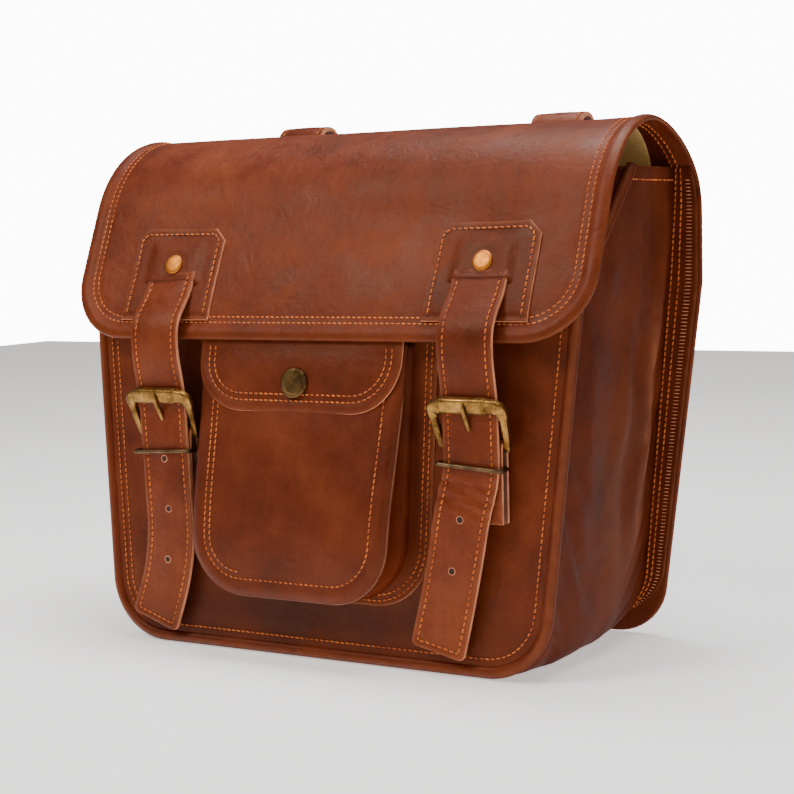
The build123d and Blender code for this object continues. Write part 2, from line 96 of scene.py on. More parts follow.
# Shell: the same arcs as the CAD flap
CREST_Y, REAR_ARC, FRONT_ARC, FLAP_SLOPE = 22.8, 36.0, 62.0, 23.0
FLAP_CORNER, BACK_CORNER, BODY_CORNER = 36.0, 30.0, 36.0
BACK_HALF_BASE, BODY_HALF_BASE = 143.0, 132.0
SHOULDER_Y, SHOULDER_Z, MOUTH_Y = -50.0, 190.0, 5.0

SIDES = ("left", "right")
SLIT_X = {side: middle(f"{side}_patch")[0] for side in SIDES}
BUCKLE_X = {side: middle(f"{side}_buckle")[0] for side in SIDES}
STRAP_WIDTH = 30.0
STRAP_SEAM, STRAP_PITCH, STRAP_THREAD = 3.4, 3.4, 0.47
SLIT_Z = 195.0
POCKET_X = middle("snap_cap")[0]


# ---------------------------------------------------------------- camera
CAMERA_YAW, CAMERA_PITCH, CAMERA_ROLL = radians(30.18), radians(5.63), radians(-1.48)
CAMERA_DISTANCE, CAMERA_LENS = 0.9416, 78.95
CAMERA_TARGET = Vector((0.0155, 0.0, 0.1312))


def add_camera():
    back = Vector((
        sin(CAMERA_YAW) * cos(CAMERA_PITCH),
        -cos(CAMERA_YAW) * cos(CAMERA_PITCH),
        sin(CAMERA_PITCH),
    ))
    right = (-back).cross(Vector((0, 0, 1))).normalized()
    up = right.cross(-back)
    tilted_right = right * cos(CAMERA_ROLL) + up * sin(CAMERA_ROLL)
    tilted_up = up * cos(CAMERA_ROLL) - right * sin(CAMERA_ROLL)
    camera = bpy.data.objects.new("camera", bpy.data.cameras.new("camera"))
    camera.data.sensor_width = 36
    camera.data.lens = CAMERA_LENS
    turn = Matrix((tilted_right, tilted_up, back)).transposed().to_4x4()
    camera.matrix_world = Matrix.Translation(CAMERA_TARGET + back * CAMERA_DISTANCE) @ turn
    bpy.context.scene.collection.objects.link(camera)
    bpy.context.scene.camera = camera


add_camera()


# ---------------------------------------------------------------- materials
class Shader:
    """A node material being built: one principled surface with colour, roughness and bump."""

    def __init__(self, name):
        self.material = bpy.data.materials.new(name)
        self.material.use_nodes = True
        self.tree = self.material.node_tree
        self.surface = self.tree.nodes["Principled BSDF"]
        self.place = self.tree.nodes.new("ShaderNodeTexCoord").outputs["Object"]

    def node(self, kind, **settings):
        node = self.tree.nodes.new(kind)
        for key, value in settings.items():
            setattr(node, key, value)
        return node

    def link(self, source, target):
        self.tree.links.new(source, target)

    def noise(self, scale, detail=4.0, roughness=0.5, distortion=0.0, stretch=None):
        node = self.node("ShaderNodeTexNoise")
        node.inputs["Scale"].default_value = scale
        node.inputs["Detail"].default_value = detail
        node.inputs["Roughness"].default_value = roughness
        node.inputs["Distortion"].default_value = distortion
        source = self.place
        if stretch:
            mapping = self.node("ShaderNodeMapping")
            mapping.inputs["Scale"].default_value = stretch
            self.link(self.place, mapping.inputs["Vector"])
            source = mapping.outputs["Vector"]
        self.link(source, node.inputs["Vector"])
        return node.outputs["Fac"]

    def pebble(self, scale):
        node = self.node("ShaderNodeTexVoronoi", feature="DISTANCE_TO_EDGE")
        node.inputs["Scale"].default_value = scale
        self.link(self.place, node.inputs["Vector"])
        return node.outputs["Distance"]

    def wave(self, scale, direction, distortion=0.0):
        node = self.node("ShaderNodeTexWave", bands_direction=direction)
        node.inputs["Scale"].default_value = scale
        node.inputs["Distortion"].default_value = distortion
        self.link(self.place, node.inputs["Vector"])
        return node.outputs["Fac"]

    def attribute(self, name):
        node = self.node("ShaderNodeAttribute", attribute_name=name)
        return node.outputs["Fac"]

    def math(self, operation, a, b=0.0):
        node = self.node("ShaderNodeMath", operation=operation)
        for value, socket in ((a, node.inputs[0]), (b, node.inputs[1])):
            if isinstance(value, (int, float)):
                socket.default_value = value
            else:
                self.link(value, socket)
        return node.outputs[0]

    def weighted(self, *parts):
        """The sum of some values, each times its weight."""
        total = None
        for value, weight in parts:
            term = self.math("MULTIPLY", value, weight)
            total = term if total is None else self.math("ADD", total, term)
        return total

    def spread(self, value, low_in, high_in, low_out, high_out):
        node = self.node("ShaderNodeMapRange")
        for key, number in (
            ("From Min", low_in), ("From Max", high_in), ("To Min", low_out), ("To Max", high_out)
        ):
            node.inputs[key].default_value = number
        self.link(value, node.inputs["Value"])
        return node.outputs["Result"]

    def ramp(self, value, *stops):
        node = self.node("ShaderNodeValToRGB")
        elements = node.color_ramp.elements
        while len(elements) < len(stops):
            elements.new(0.5)
        for element, (position, colour) in zip(elements, stops):
            element.position = position
            element.color = (*colour, 1)
        self.link(value, node.inputs["Fac"])
        return node.outputs["Color"]

    def mix(self, factor, first, second):
        node = self.node("ShaderNodeMix", data_type="RGBA")
        sockets = (node.inputs[0], node.inputs[6], node.inputs[7])
        for value, socket in zip((factor, first, second), sockets):
            if isinstance(value, tuple):
                socket.default_value = (*value, 1)
            elif isinstance(value, (int, float)):
                socket.default_value = value
            else:
                self.link(value, socket)
        return node.outputs[2]

    def bump(self, height, distance, strength=1.0, over=None):
        node = self.node("ShaderNodeBump")
        node.inputs["Distance"].default_value = distance
        node.inputs["Strength"].default_value = strength
        self.link(height, node.inputs["Height"])
        if over is not None:
            self.link(over, node.inputs["Normal"])
        return node.outputs["Normal"]

    def finish(self, colour, roughness, normal, **constants):
        for value, key in ((colour, "Base Color"), (roughness, "Roughness"), (normal, "Normal")):
            if isinstance(value, (int, float)):
                self.surface.inputs[key].default_value = value
            elif isinstance(value, tuple):
                self.surface.inputs[key].default_value = (*value, 1)
            elif value is not None:
                self.link(value, self.surface.inputs[key])
        for key, value in constants.items():
            self.surface.inputs[key.replace("_", " ")].default_value = value
        return self.material


def leather(name, dark, mid, light, worn_and_highlight, rough=(0.40, 0.58), gloss=0.25):
    """Oiled full-grain leather: cloudy dye, fine pebble, wrinkles and pale rubbed edges, with painted light from a
    per-point value: positive values paint wear and painted highlights in the paler colour, negative ones paint
    shade.
    """
    s = Shader(name)
    clouds = s.noise(16.0, detail=5.0, roughness=0.55, distortion=0.4)
    blotches = s.noise(52.0, detail=4.0, roughness=0.6)
    specks = s.noise(700.0, detail=2.0)
    streaks = s.noise(210.0, detail=6.0, roughness=0.65, stretch=(1.0, 1.0, 0.16))
    dye = s.weighted((clouds, 0.46), (blotches, 0.30), (streaks, 0.14), (specks, 0.10))
    colour = s.ramp(dye, (0.36, dark), (0.50, mid), (0.64, light))
    wear_and_painted_light = s.attribute("wear_and_painted_light")
    # Positive values paint rubbed wear and, on the gusset, painted highlights towards the paler colour.
    paint_wear_and_light = s.math("MULTIPLY", wear_and_painted_light, s.spread(s.noise(140.0, detail=6.0), 0.35, 0.65, 0.45, 1.0))
    colour = s.mix(s.math("MAXIMUM", paint_wear_and_light, 0.0), colour, worn_and_highlight)
    # Painted shade: negative values darken the colour towards a third of the dark dye.
    painted_crease_shade = s.math("MULTIPLY", s.math("MAXIMUM", s.math("MULTIPLY", wear_and_painted_light, -1.0), 0.0), 0.75)
    colour = s.mix(painted_crease_shade, colour, tuple(0.35 * c for c in dark))
    pores = s.bump(s.pebble(950.0), 0.00012, 0.6)
    grain_bump = s.bump(s.noise(330.0, detail=3.0), 0.00030, 0.7, pores)
    wrinkles = s.noise(60.0, detail=6.0, roughness=0.55, distortion=1.6)
    normal = s.bump(wrinkles, 0.0010, 0.45, grain_bump)
    roughness = s.spread(blotches, 0.3, 0.7, *rough)
    return s.finish(
        colour, roughness, normal, Specular_IOR_Level=gloss, Specular_Tint=(1.0, 0.72, 0.55, 1)
    )


def raw_edge(name, colour, shade):
    """Cut leather edge: pale fibres in thin layers."""
    s = Shader(name)
    fibres = s.noise(900.0, detail=5.0, roughness=0.7)
    stain = s.noise(60.0, detail=3.0)
    mixed = s.weighted((fibres, 0.5), (stain, 0.5))
    tint = s.ramp(mixed, (0.36, shade), (0.58, colour))
    return s.finish(tint, 0.85, s.bump(fibres, 0.0003, 0.7))


def suede(name, dark, light):
    """Flesh side of the leather: matt, with short nap."""
    s = Shader(name)
    nap = s.noise(850.0, detail=6.0, roughness=0.75)
    patches = s.noise(38.0, detail=3.0)
    mixed = s.weighted((nap, 0.45), (patches, 0.55))
    tint = s.ramp(mixed, (0.38, dark), (0.62, light))
    return s.finish(tint, 0.92, s.bump(nap, 0.0004, 0.8), Sheen_Weight=0.25)


def thread(name, dark, light):
    """Waxed thread: orange, with a fine twist."""
    s = Shader(name)
    twist = s.wave(620.0, "DIAGONAL", 1.5)
    stain = s.noise(90.0, detail=3.0)
    tint = s.ramp(stain, (0.35, dark), (0.62, light))
    return s.finish(tint, 0.58, s.bump(twist, 0.00012, 0.8), Specular_IOR_Level=0.4)


def woven(name, dark, light):
    """Lining cloth: a plain weave with slubs."""
    s = Shader(name)
    across = s.wave(330.0, "X", 0.6)
    along = s.wave(330.0, "Z", 0.6)
    weave = s.math("MULTIPLY", across, along)
    slubs = s.noise(30.0, detail=5.0)
    mixed = s.weighted((weave, 0.35), (slubs, 0.65))
    tint = s.ramp(mixed, (0.30, dark), (0.62, light))
    return s.finish(tint, 0.80, s.bump(weave, 0.0003, 0.7), Sheen_Weight=0.15)


def metal(name, dark, bright, tarnish, rough=(0.30, 0.5), scratch=0.5):
    """Cast or plated metal with tarnish in patches and fine scratches."""
    s = Shader(name)
    patches = s.noise(95.0, detail=6.0, roughness=0.65)
    specks = s.noise(900.0, detail=4.0)
    mixed = s.weighted((patches, 0.8), (specks, 0.2))
    low_stop, high_stop = tarnish
    tint = s.ramp(mixed, (low_stop, dark), (high_stop, bright))
    scratches = s.noise(420.0, detail=6.0, roughness=0.7, stretch=(1.0, 1.0, 0.12))
    normal = s.bump(scratches, 0.00016, scratch)
    roughness = s.spread(patches, 0.35, 0.65, rough[1], rough[0])
    return s.finish(tint, roughness, normal, Metallic=1.0)


def ground(name, tone):
    s = Shader(name)
    mottled = s.noise(6.0, detail=3.0)
    tint = s.ramp(mottled, (0.3, (tone,) * 3), (0.7, (tone * 1.01,) * 3))
    return s.finish(
        tint, 0.75, s.bump(s.noise(250.0), 0.0001, 0.2),
        Emission_Color=(1.0, 0.975, 0.945, 1), Emission_Strength=0.6,
    )


SHELL = leather(
    "shell_leather", (0.066, 0.0085, 0.0017), (0.118, 0.0165, 0.0030), (0.172, 0.031, 0.0068),
    (0.30, 0.085, 0.028),
)
DARK = leather(
    "front_leather", (0.062, 0.0078, 0.0016), (0.112, 0.0160, 0.0031), (0.158, 0.0275, 0.0062),
    (0.26, 0.070, 0.022),
)
SIDE = leather(
    "side_leather", (0.048, 0.0066, 0.0015), (0.085, 0.0126, 0.0028), (0.125, 0.022, 0.0056),
    (0.25, 0.075, 0.028), rough=(0.56, 0.70), gloss=0.12,
)
STRAP = leather(
    "strap_leather", (0.076, 0.0098, 0.0023), (0.132, 0.0195, 0.0045), (0.200, 0.039, 0.0105),
    (0.32, 0.092, 0.034), rough=(0.36, 0.52),
)
POCKET = leather(
    "pocket_leather", (0.056, 0.0070, 0.0014), (0.100, 0.0140, 0.0028), (0.146, 0.026, 0.0058),
    (0.27, 0.070, 0.022),
)
EDGE = raw_edge("cut_edge", (0.78, 0.30, 0.145), (0.44, 0.135, 0.055))
FLESH = suede("flesh_side", (0.12, 0.035, 0.014), (0.24, 0.085, 0.035))
THREAD = thread("orange_thread", (0.42, 0.070, 0.006), (0.74, 0.170, 0.020))
# Painted shade: a nearly black colour standing for the shade inside needle holes and punched holes, made with the
# cut-edge shader.
NEEDLE_HOLE_SHADE = raw_edge("needle_hole_painted_shade", (0.035, 0.010, 0.004), (0.018, 0.006, 0.003))
CLOTH = woven("lining_cloth", (0.56, 0.30, 0.070), (0.92, 0.60, 0.200))
ANTIQUE = metal("antique_brass", (0.085, 0.038, 0.009), (0.46, 0.240, 0.062), (0.38, 0.64))
BRIGHT = metal("bright_brass", (0.34, 0.10, 0.014), (0.60, 0.205, 0.030), (0.32, 0.60), (0.40, 0.55))
WORN = metal("worn_brass", (0.050, 0.027, 0.010), (0.24, 0.135, 0.046), (0.40, 0.68), (0.36, 0.55))
BRONZE = metal("bronze_wire", (0.05, 0.028, 0.014), (0.24, 0.14, 0.07), (0.38, 0.68), (0.35, 0.5))
STEEL = metal("magnet_steel", (0.30, 0.30, 0.31), (0.58, 0.58, 0.60), (0.3, 0.7))
FLOOR = ground("pale_floor", 0.90)


# ---------------------------------------------------------------- routes and sheets
def arc(centre, radius, start, end, step=1.0):
    """Points along an arc, angles in degrees from +Y towards +Z."""
    count = max(3, int(abs(radians(end - start)) * radius / step))
    turn = np.radians(np.linspace(start, end, count))
    return [(centre[0] + radius * cos(t), centre[1] + radius * sin(t)) for t in turn]


def eased(points, reach, steps=8):
    """The same run of points with each corner eased over this reach."""
    points = [np.array(p, float) for p in points]
    out = [points[0]]
    for before, corner, after in zip(points, points[1:], points[2:]):
        into, away = before - corner, after - corner
        into_reach = min(reach, 0.48 * np.linalg.norm(into)) / np.linalg.norm(into)
        away_reach = min(reach, 0.48 * np.linalg.norm(away)) / np.linalg.norm(away)
        start, end = corner + into * into_reach, corner + away * away_reach
        for t in np.linspace(0, 1, steps):
            out.append((1 - t) ** 2 * start + 2 * t * (1 - t) * corner + t**2 * end)
    return out + [points[-1]]


def spaced(points, step):
    """The same run with points at most about a step apart."""
    out = []
    for start, end in zip(points, points[1:]):
        count = max(1, int(np.ceil(np.linalg.norm(np.subtract(end, start)) / step)))
        out += [start + (np.array(end) - start) * k / count for k in range(count)]
    return out + [points[-1]]


def lengths_along(points):
    """How far along the run each of its points is."""
    return np.concatenate([[0], np.cumsum(np.linalg.norm(np.diff(points, axis=0), axis=1))])


class Route:
    """A side view (y, z) measured along its length, with its normal out of the leather."""

    def __init__(self, points, out=1):
        points = np.array(points, float)
        kept = np.concatenate([[True], np.linalg.norm(np.diff(points, axis=0), axis=1) > 1e-6])
        self.points = points[kept]
        self.lengths = lengths_along(self.points)
        self.total = self.lengths[-1]
        tangent = np.gradient(self.points, self.lengths, axis=0)
        tangent /= np.linalg.norm(tangent, axis=1)[:, None]
        self.normals = out * np.stack([tangent[:, 1], -tangent[:, 0]], axis=1)

    def read(self, s, table):
        inside = np.clip(s, 0, self.total)
        first = np.interp(inside, self.lengths, table[:, 0])
        second = np.interp(inside, self.lengths, table[:, 1])
        return first, second

    def at(self, s):
        y, z = self.read(s, self.points)
        start, end = self.points[1] - self.points[0], self.points[-1] - self.points[-2]
        start, end = start / np.linalg.norm(start), end / np.linalg.norm(end)
        under, over = np.minimum(s, 0), np.maximum(np.asarray(s) - self.total, 0)
        return y + under * start[0] + over * end[0], z + under * start[1] + over * end[1]

    def place(self, x, s, offset):
        y, z = self.at(s)
        out_y, out_z = self.read(s, self.normals)
        return np.stack([x + 0 * y, y + offset * out_y, z + offset * out_z], axis=-1)


def smooth(value, start, end):
    t = np.clip((np.asarray(value, float) - start) / (end - start), 0, 1)
    return t * t * (3 - 2 * t)


def hump(value, centre, width):
    """A soft ridge of height 1."""
    return np.exp(-(((np.asarray(value) - centre) / width) ** 2))


def wander(x, s, seed, size):
    """Slow unevenness between about -1 and 1, without any regular beat."""
    local = np.random.default_rng(seed)
    total = 0 * x
    for turn in local.uniform(0, 2 * pi, 5):
        scale = local.uniform(0.7, 1.5) * size
        phase = local.uniform(0, 2 * pi)
        total = total + np.sin((x * cos(turn) + s * sin(turn)) * 2 * pi / scale + phase)
    return total / 3.0


def round_end(half, radius, lean=0.0, steps=12):
    """Rows of a round-cornered end: distance from the end, half width, inset across, along."""
    grow = hypot(1, lean)
    centre = half + lean * radius - radius * grow
    rows = []
    for turn in np.linspace(0, acos(lean / grow), steps):
        rows.append((radius - radius * cos(turn), centre + radius * sin(turn), sin(turn), cos(turn)))
    return rows


def straight_rows(start, end, half, step, last_square=False):
    """Rows of a straight stretch; half is a function of the distance."""
    count = max(2, int(abs(end - start) / step))
    rows = [(s, half(s), 1.0, 0.0) for s in np.linspace(start, end, count + 1)[1:]]
    if last_square:
        rows[-1] = (end, half(end), 1.0, -1.0)
    return rows


def flipped(rows, total):
    """The same rows counted from the other end."""
    return [(total - s, half, across, -along) for s, half, across, along in rows][::-1]


def ring_points(rows, inset):
    """Outline of the sheet at this inset as (x, s), anticlockwise from the first row's left."""
    rows = np.array(rows)
    half = rows[:, 1] - inset * rows[:, 2]
    s = rows[:, 0] + inset * rows[:, 3]
    right = np.stack([half, s], axis=1)
    left = np.stack([-half, s], axis=1)[::-1]
    return np.concatenate([right, left])


def nearest_distance(x, s, outline):
    """Distance in the flat from each point to the outline."""
    outline = np.concatenate([outline, outline[:1]])
    best = np.full(x.shape, 1e9)
    for (ax, as_), (bx, bs) in zip(outline, outline[1:]):
        dx, ds = bx - ax, bs - as_
        square = dx * dx + ds * ds
        if square < 1e-9:
            continue
        t = np.clip(((x - ax) * dx + (s - as_) * ds) / square, 0, 1)
        best = np.minimum(best, np.hypot(x - ax - t * dx, s - as_ - t * ds))
    return best


def new_mesh(name, points, faces, materials, face_materials=None, wear_and_painted_light=None):
    mesh = bpy.data.meshes.new(name)
    mesh.from_pydata([tuple(p) for p in np.asarray(points) * MM], [], faces)
    for material in materials:
        mesh.materials.append(material)
    if face_materials is not None:
        mesh.polygons.foreach_set("material_index", face_materials)
    mesh.polygons.foreach_set("use_smooth", [True] * len(mesh.polygons))
    if wear_and_painted_light is not None:
        layer = mesh.attributes.new("wear_and_painted_light", "FLOAT", "POINT")
        layer.data.foreach_set("value", np.asarray(wear_and_painted_light, np.float32))
    mesh.update()
    obj = bpy.data.objects.new(name, mesh)
    bpy.context.scene.collection.objects.link(obj)
    return obj


def grid_faces(rows, columns, turned=False):
    """Quads between the points of a grid numbered row by row; turned faces the other way."""
    faces = []
    for i in range(rows - 1):
        for j in range(columns - 1):
            a = i * columns + j
            b, c, d = a + 1, a + columns + 1, a + columns
            faces.append((a, d, c, b) if turned else (a, b, c, d))
    return faces


def ring_faces(count, sides):
    """Quads round a run of rings, with a face over each end."""
    faces = []
    for i in range(count - 1):
        for j in range(sides):
            a, b = i * sides + j, i * sides + (j + 1) % sides
            faces.append((a, b, b + sides, a + sides))
    faces.append(tuple(reversed(range(sides))))
    faces.append(tuple((count - 1) * sides + j for j in range(sides)))
    return faces


def thicken(obj, thickness):
    """Give a surface its thickness, half to each side."""
    skin = obj.modifiers.new("thickness", "SOLIDIFY")
    skin.thickness = thickness * MM
    skin.offset = 0.0


def baked(obj):
    """Apply the object's modifiers to its mesh."""
    graph = bpy.context.evaluated_depsgraph_get()
    mesh = bpy.data.meshes.new_from_object(obj.evaluated_get(graph))
    obj.modifiers.clear()
    obj.data = mesh
    mesh.polygons.foreach_set("use_smooth", [True] * len(mesh.polygons))
    return obj


class Sheet:
    """A leather sheet cut to an outline, laid on a surface, with rounded or cut edges.

    place(x, s, offset) gives the point at `offset` out of the sheet's middle, and
    relief(x, s, edge) how far the outer face stands proud, edge being the distance to the cut.
    """

    def __init__(self, rows, place, thickness=LEATHER, columns=60, relief=None, hem=0.35,
                 centre=0.0, dense=0.8, cut_wear=0.55):
        self.rows = np.array(rows, float)
        self.route_place = place
        self.thickness = thickness
        self.relief = relief
        self.hem = min(hem, thickness / 2 - 0.05)
        self.centre = centre
        self.cut_wear = cut_wear
        spread = np.linspace(-1, 1, columns) * dense * pi / 2
        self.across = np.sin(spread) / sin(dense * pi / 2)
        self.outline = ring_points(self.rows, 0.0)

    def surface(self, x, s, offset):
        """Point on or in the sheet; offset +thickness/2 is its outer face."""
        x, s = np.asarray(x, float), np.asarray(s, float)
        if self.relief is not None:
            edge = nearest_distance(x, s, self.outline)
            share = np.clip(offset / self.thickness + 0.5, 0, 1)
            offset = offset + self.relief(x, s, edge) * (0.45 + 0.55 * share)
        return self.route_place(x + self.centre, s, offset)

    def outward(self, s, offset):
        """A point on the sheet's middle line and the direction out of the sheet there."""
        spot = np.array([0.0]), np.array([s])
        point = self.surface(*spot, offset)[0]
        return point, self.surface(*spot, offset + 1)[0] - point

    def grid(self, inset, offset):
        rows = self.rows
        s = rows[:, :1] + inset * rows[:, 3:4] + 0 * self.across
        x = self.across * (rows[:, 1:2] - inset * rows[:, 2:3])
        return x, s, self.surface(x, s, offset)

    def rim(self, points):
        """The border of a grid, as one closed run."""
        first, last = points[0], points[-1]
        right, left = points[1:-1, -1], points[1:-1, 0]
        return np.concatenate([first, right, last[::-1], left[::-1]])

    def build(self, name, outside, inside=None, cut=None):
        inside, cut = inside or outside, cut or outside
        half, hem = self.thickness / 2, self.hem
        slant = 1 - cos(pi / 4)
        layers = (
            (hem * slant, half - hem * slant), (0.0, half - hem),
            (0.0, -half + hem), (hem * slant, -half + hem * slant),
        )
        x, s, front = self.grid(hem, half)
        back = self.grid(hem, -half)[2]
        edge = nearest_distance(x, s, self.outline)
        points = [front.reshape(-1, 3)]
        rings = []
        n, m = front.shape[:2]
        number = np.arange(n * m).reshape(n, m)
        rings.append(self.rim(number[..., None])[:, 0])
        start = n * m
        for inset, offset in layers:
            ring = self.rim(self.grid(inset, offset)[2])
            points.append(ring)
            rings.append(np.arange(start, start + len(ring)))
            start += len(ring)
        points.append(back.reshape(-1, 3))
        rings.append(self.rim((number + start)[..., None])[:, 0])
        faces, kinds = [], []
        for a, b, c, d in grid_faces(n, m):
            faces.append((a, b, c, d))
            faces.append((a + start, d + start, c + start, b + start))
            kinds += [0, 1]
        count = len(rings[0])
        for level, (upper, lower) in enumerate(zip(rings, rings[1:])):
            kind = {0: 0, len(layers): 1}.get(level, 2)
            for k in range(count):
                following = (k + 1) % count
                faces.append((upper[k], lower[k], lower[following], upper[following]))
                kinds.append(kind)
        wear_and_painted_light = [self.wear_at(edge).reshape(-1)]
        wear_and_painted_light += [np.full(count, self.cut_wear)] * len(layers)
        wear_and_painted_light.append(0 * edge.reshape(-1))
        return new_mesh(
            name, np.concatenate(points), faces, (outside, inside, cut), kinds,
            np.concatenate(wear_and_painted_light),
        )

    def wear_at(self, edge):
        return self.cut_wear * np.exp(-edge / 1.2)


# ---------------------------------------------------------------- sewing
class Sewing:
    """Rows of stitches gathered into one mesh, with a needle hole's painted shade at each end."""

    SIDES = 6
    RINGS = 5

    def __init__(self, pitch=3.1, gap=0.42, radius=0.43, slant=0.14):
        self.pitch, self.gap, self.radius, self.slant = pitch, gap, radius, slant
        self.proud = 0.15
        self.points, self.faces, self.kinds = [], [], []

    def row(self, surface, path, face=1.0, thickness=LEATHER):
        """Sew along path, a run of (x, s) on surface; face -1 sews the inner side."""
        path = np.asarray(path, float)
        lift = face * thickness / 2
        base = surface(path[:, 0], path[:, 1], lift)
        above = surface(path[:, 0], path[:, 1], lift + face * 0.5)
        normal = above - base
        normal /= np.maximum(np.linalg.norm(normal, axis=1), 1e-9)[:, None]
        self.along(base + self.proud * normal, normal)

    def border(self, sheet, inset, keep):
        """Sew round a sheet at this inset where keep(s) holds, as one open line."""
        run = ring_points(sheet.rows, inset)
        run = rolled_open(run[keep(run[:, 1])])
        self.row(sheet.surface, run, thickness=sheet.thickness)

    def along(self, base, normal):
        lengths = lengths_along(base)
        count = int(lengths[-1] / self.pitch)
        for k in range(count):
            start = (k + 0.5) * lengths[-1] / count - (self.pitch - self.gap) / 2
            ends = []
            for distance in (start, start + self.pitch - self.gap):
                place = np.array([np.interp(distance, lengths, base[:, i]) for i in range(3)])
                up = np.array([np.interp(distance, lengths, normal[:, i]) for i in range(3)])
                ends.append((place, up / np.linalg.norm(up)))
            self.stitch(*ends[0], *ends[1])

    def stitch(self, start, start_up, end, end_up):
        run = end - start
        up = start_up + end_up
        up /= np.linalg.norm(up)
        side = np.cross(run, up)
        side /= max(np.linalg.norm(side), 1e-9)
        slant = self.slant * (1 + 0.5 * RANDOM.uniform(-1, 1))
        start = start - side * slant
        end = end + side * slant
        first = len(self.points)
        fat = self.radius * RANDOM.uniform(0.9, 1.1)
        for i in range(self.RINGS):
            t = i / (self.RINGS - 1)
            rise = sin(pi * t) ** 0.6
            centre = start + (end - start) * t + up * (fat * (1.15 * rise - 0.85))
            size = fat * (0.55 + 0.45 * rise)
            for j in range(self.SIDES):
                turn = 2 * pi * j / self.SIDES
                self.points.append(centre + size * (cos(turn) * side + sin(turn) * up))
        for i in range(self.RINGS - 1):
            for j in range(self.SIDES):
                a = first + i * self.SIDES + j
                b = first + i * self.SIDES + (j + 1) % self.SIDES
                self.faces.append((a, b, b + self.SIDES, a + self.SIDES))
                self.kinds.append(0)
        self.faces.append(tuple(first + j for j in reversed(range(self.SIDES))))
        last = first + (self.RINGS - 1) * self.SIDES
        self.faces.append(tuple(last + j for j in range(self.SIDES)))
        self.kinds += [0, 0]
        for place, way in ((start, -1), (end, 1)):
            self.painted_hole_shade(place + way * 0.18 * run / np.linalg.norm(run), up, side)

    def painted_hole_shade(self, place, up, side):
        """A small needle hole's painted shade: a flat cone just proud of the leather, nearly black."""
        first = len(self.points)
        forward = np.cross(up, side)
        size = self.radius * 1.25
        for j in range(self.SIDES):
            turn = 2 * pi * j / self.SIDES
            self.points.append(place - 0.10 * up + size * (cos(turn) * side + sin(turn) * forward))
        self.points.append(place + 0.06 * up)
        self.points.append(place - 0.35 * up)
        for j in range(self.SIDES):
            a, b = first + j, first + (j + 1) % self.SIDES
            self.faces.append((b, a, first + self.SIDES))
            self.faces.append((a, b, first + self.SIDES + 1))
            self.kinds += [1, 1]

    def build(self, name, material=None):
        materials = (material or THREAD, NEEDLE_HOLE_SHADE)
        return new_mesh(name, self.points, self.faces, materials, self.kinds)


def paint_wear_and_light(obj, spots):
    """Spots of (centre, radius, amount) added to the leather's painted per-point value: positive amounts paint
    rubbed wear, negative amounts paint shade.
    """
    wear_and_painted_light = obj.data.attributes["wear_and_painted_light"].data
    points = np.array([v.co for v in obj.data.vertices]) / MM
    amount = np.array([item.value for item in wear_and_painted_light])
    for centre, radius, strength in spots:
        away = np.linalg.norm((points - centre) / radius, axis=1)
        amount = amount + strength * np.exp(-away ** 2)
    wear_and_painted_light.foreach_set("value", amount.astype(np.float32))


# ---------------------------------------------------------------- round things
def tube(name, path, radius, material, closed=False, sides=12, flat=1.0, up=(0, 0, 1),
         square=0.0):
    """A bar along path; radius and flat (its squeeze along up) are numbers or one per point."""
    path = np.array(path, float)
    count = len(path)
    radius = np.broadcast_to(np.asarray(radius, float), (count,))
    flat = np.broadcast_to(np.asarray(flat, float), (count,))
    if closed:
        tangent = np.roll(path, -1, axis=0) - np.roll(path, 1, axis=0)
    else:
        tangent = np.gradient(path, axis=0)
    tangent /= np.linalg.norm(tangent, axis=1)[:, None]
    up = np.array(up, float)
    points, faces = [], []
    for centre, ahead, size, squeeze in zip(path, tangent, radius, flat):
        side = np.cross(ahead, up)
        side /= np.linalg.norm(side)
        lift = np.cross(side, ahead)
        for j in range(sides):
            turn = 2 * pi * j / sides
            blunt = 1 + square * sin(2 * turn) ** 2
            points.append(
                centre + size * blunt * (cos(turn) * side + squeeze * sin(turn) * lift)
            )
    for i in range(count if closed else count - 1):
        for j in range(sides):
            a, b = i * sides + j, i * sides + (j + 1) % sides
            c, d = ((i + 1) % count) * sides + (j + 1) % sides, ((i + 1) % count) * sides + j
            faces.append((a, d, c, b))
    if not closed:
        faces.append(tuple(range(sides)))
        faces.append(tuple((count - 1) * sides + j for j in reversed(range(sides))))
    return new_mesh(name, points, faces, (material,))


def lathe(name, profile, centre, axis, material, sides=40):
    """A round cap: profile is (radius, height) from its rim's underside to its middle."""
    axis = np.array(axis, float) / np.linalg.norm(axis)
    side = np.cross(axis, (1.0, 0.0, 0.0))
    side /= np.linalg.norm(side)
    other = np.cross(axis, side)
    points = []
    for radius, height in profile:
        for j in range(sides):
            turn = 2 * pi * j / sides
            points.append(centre + radius * (cos(turn) * side + sin(turn) * other) + height * axis)
    return new_mesh(name, points, ring_faces(len(profile), sides), (material,))


def joined(name, *objects):
    """One object from several; its materials are the first one's and the others' after."""
    for obj in bpy.context.selected_objects:
        obj.select_set(False)
    for obj in objects:
        obj.select_set(True)
    bpy.context.view_layer.objects.active = objects[0]
    bpy.ops.object.join()
    objects[0].name = name
    return objects[0]


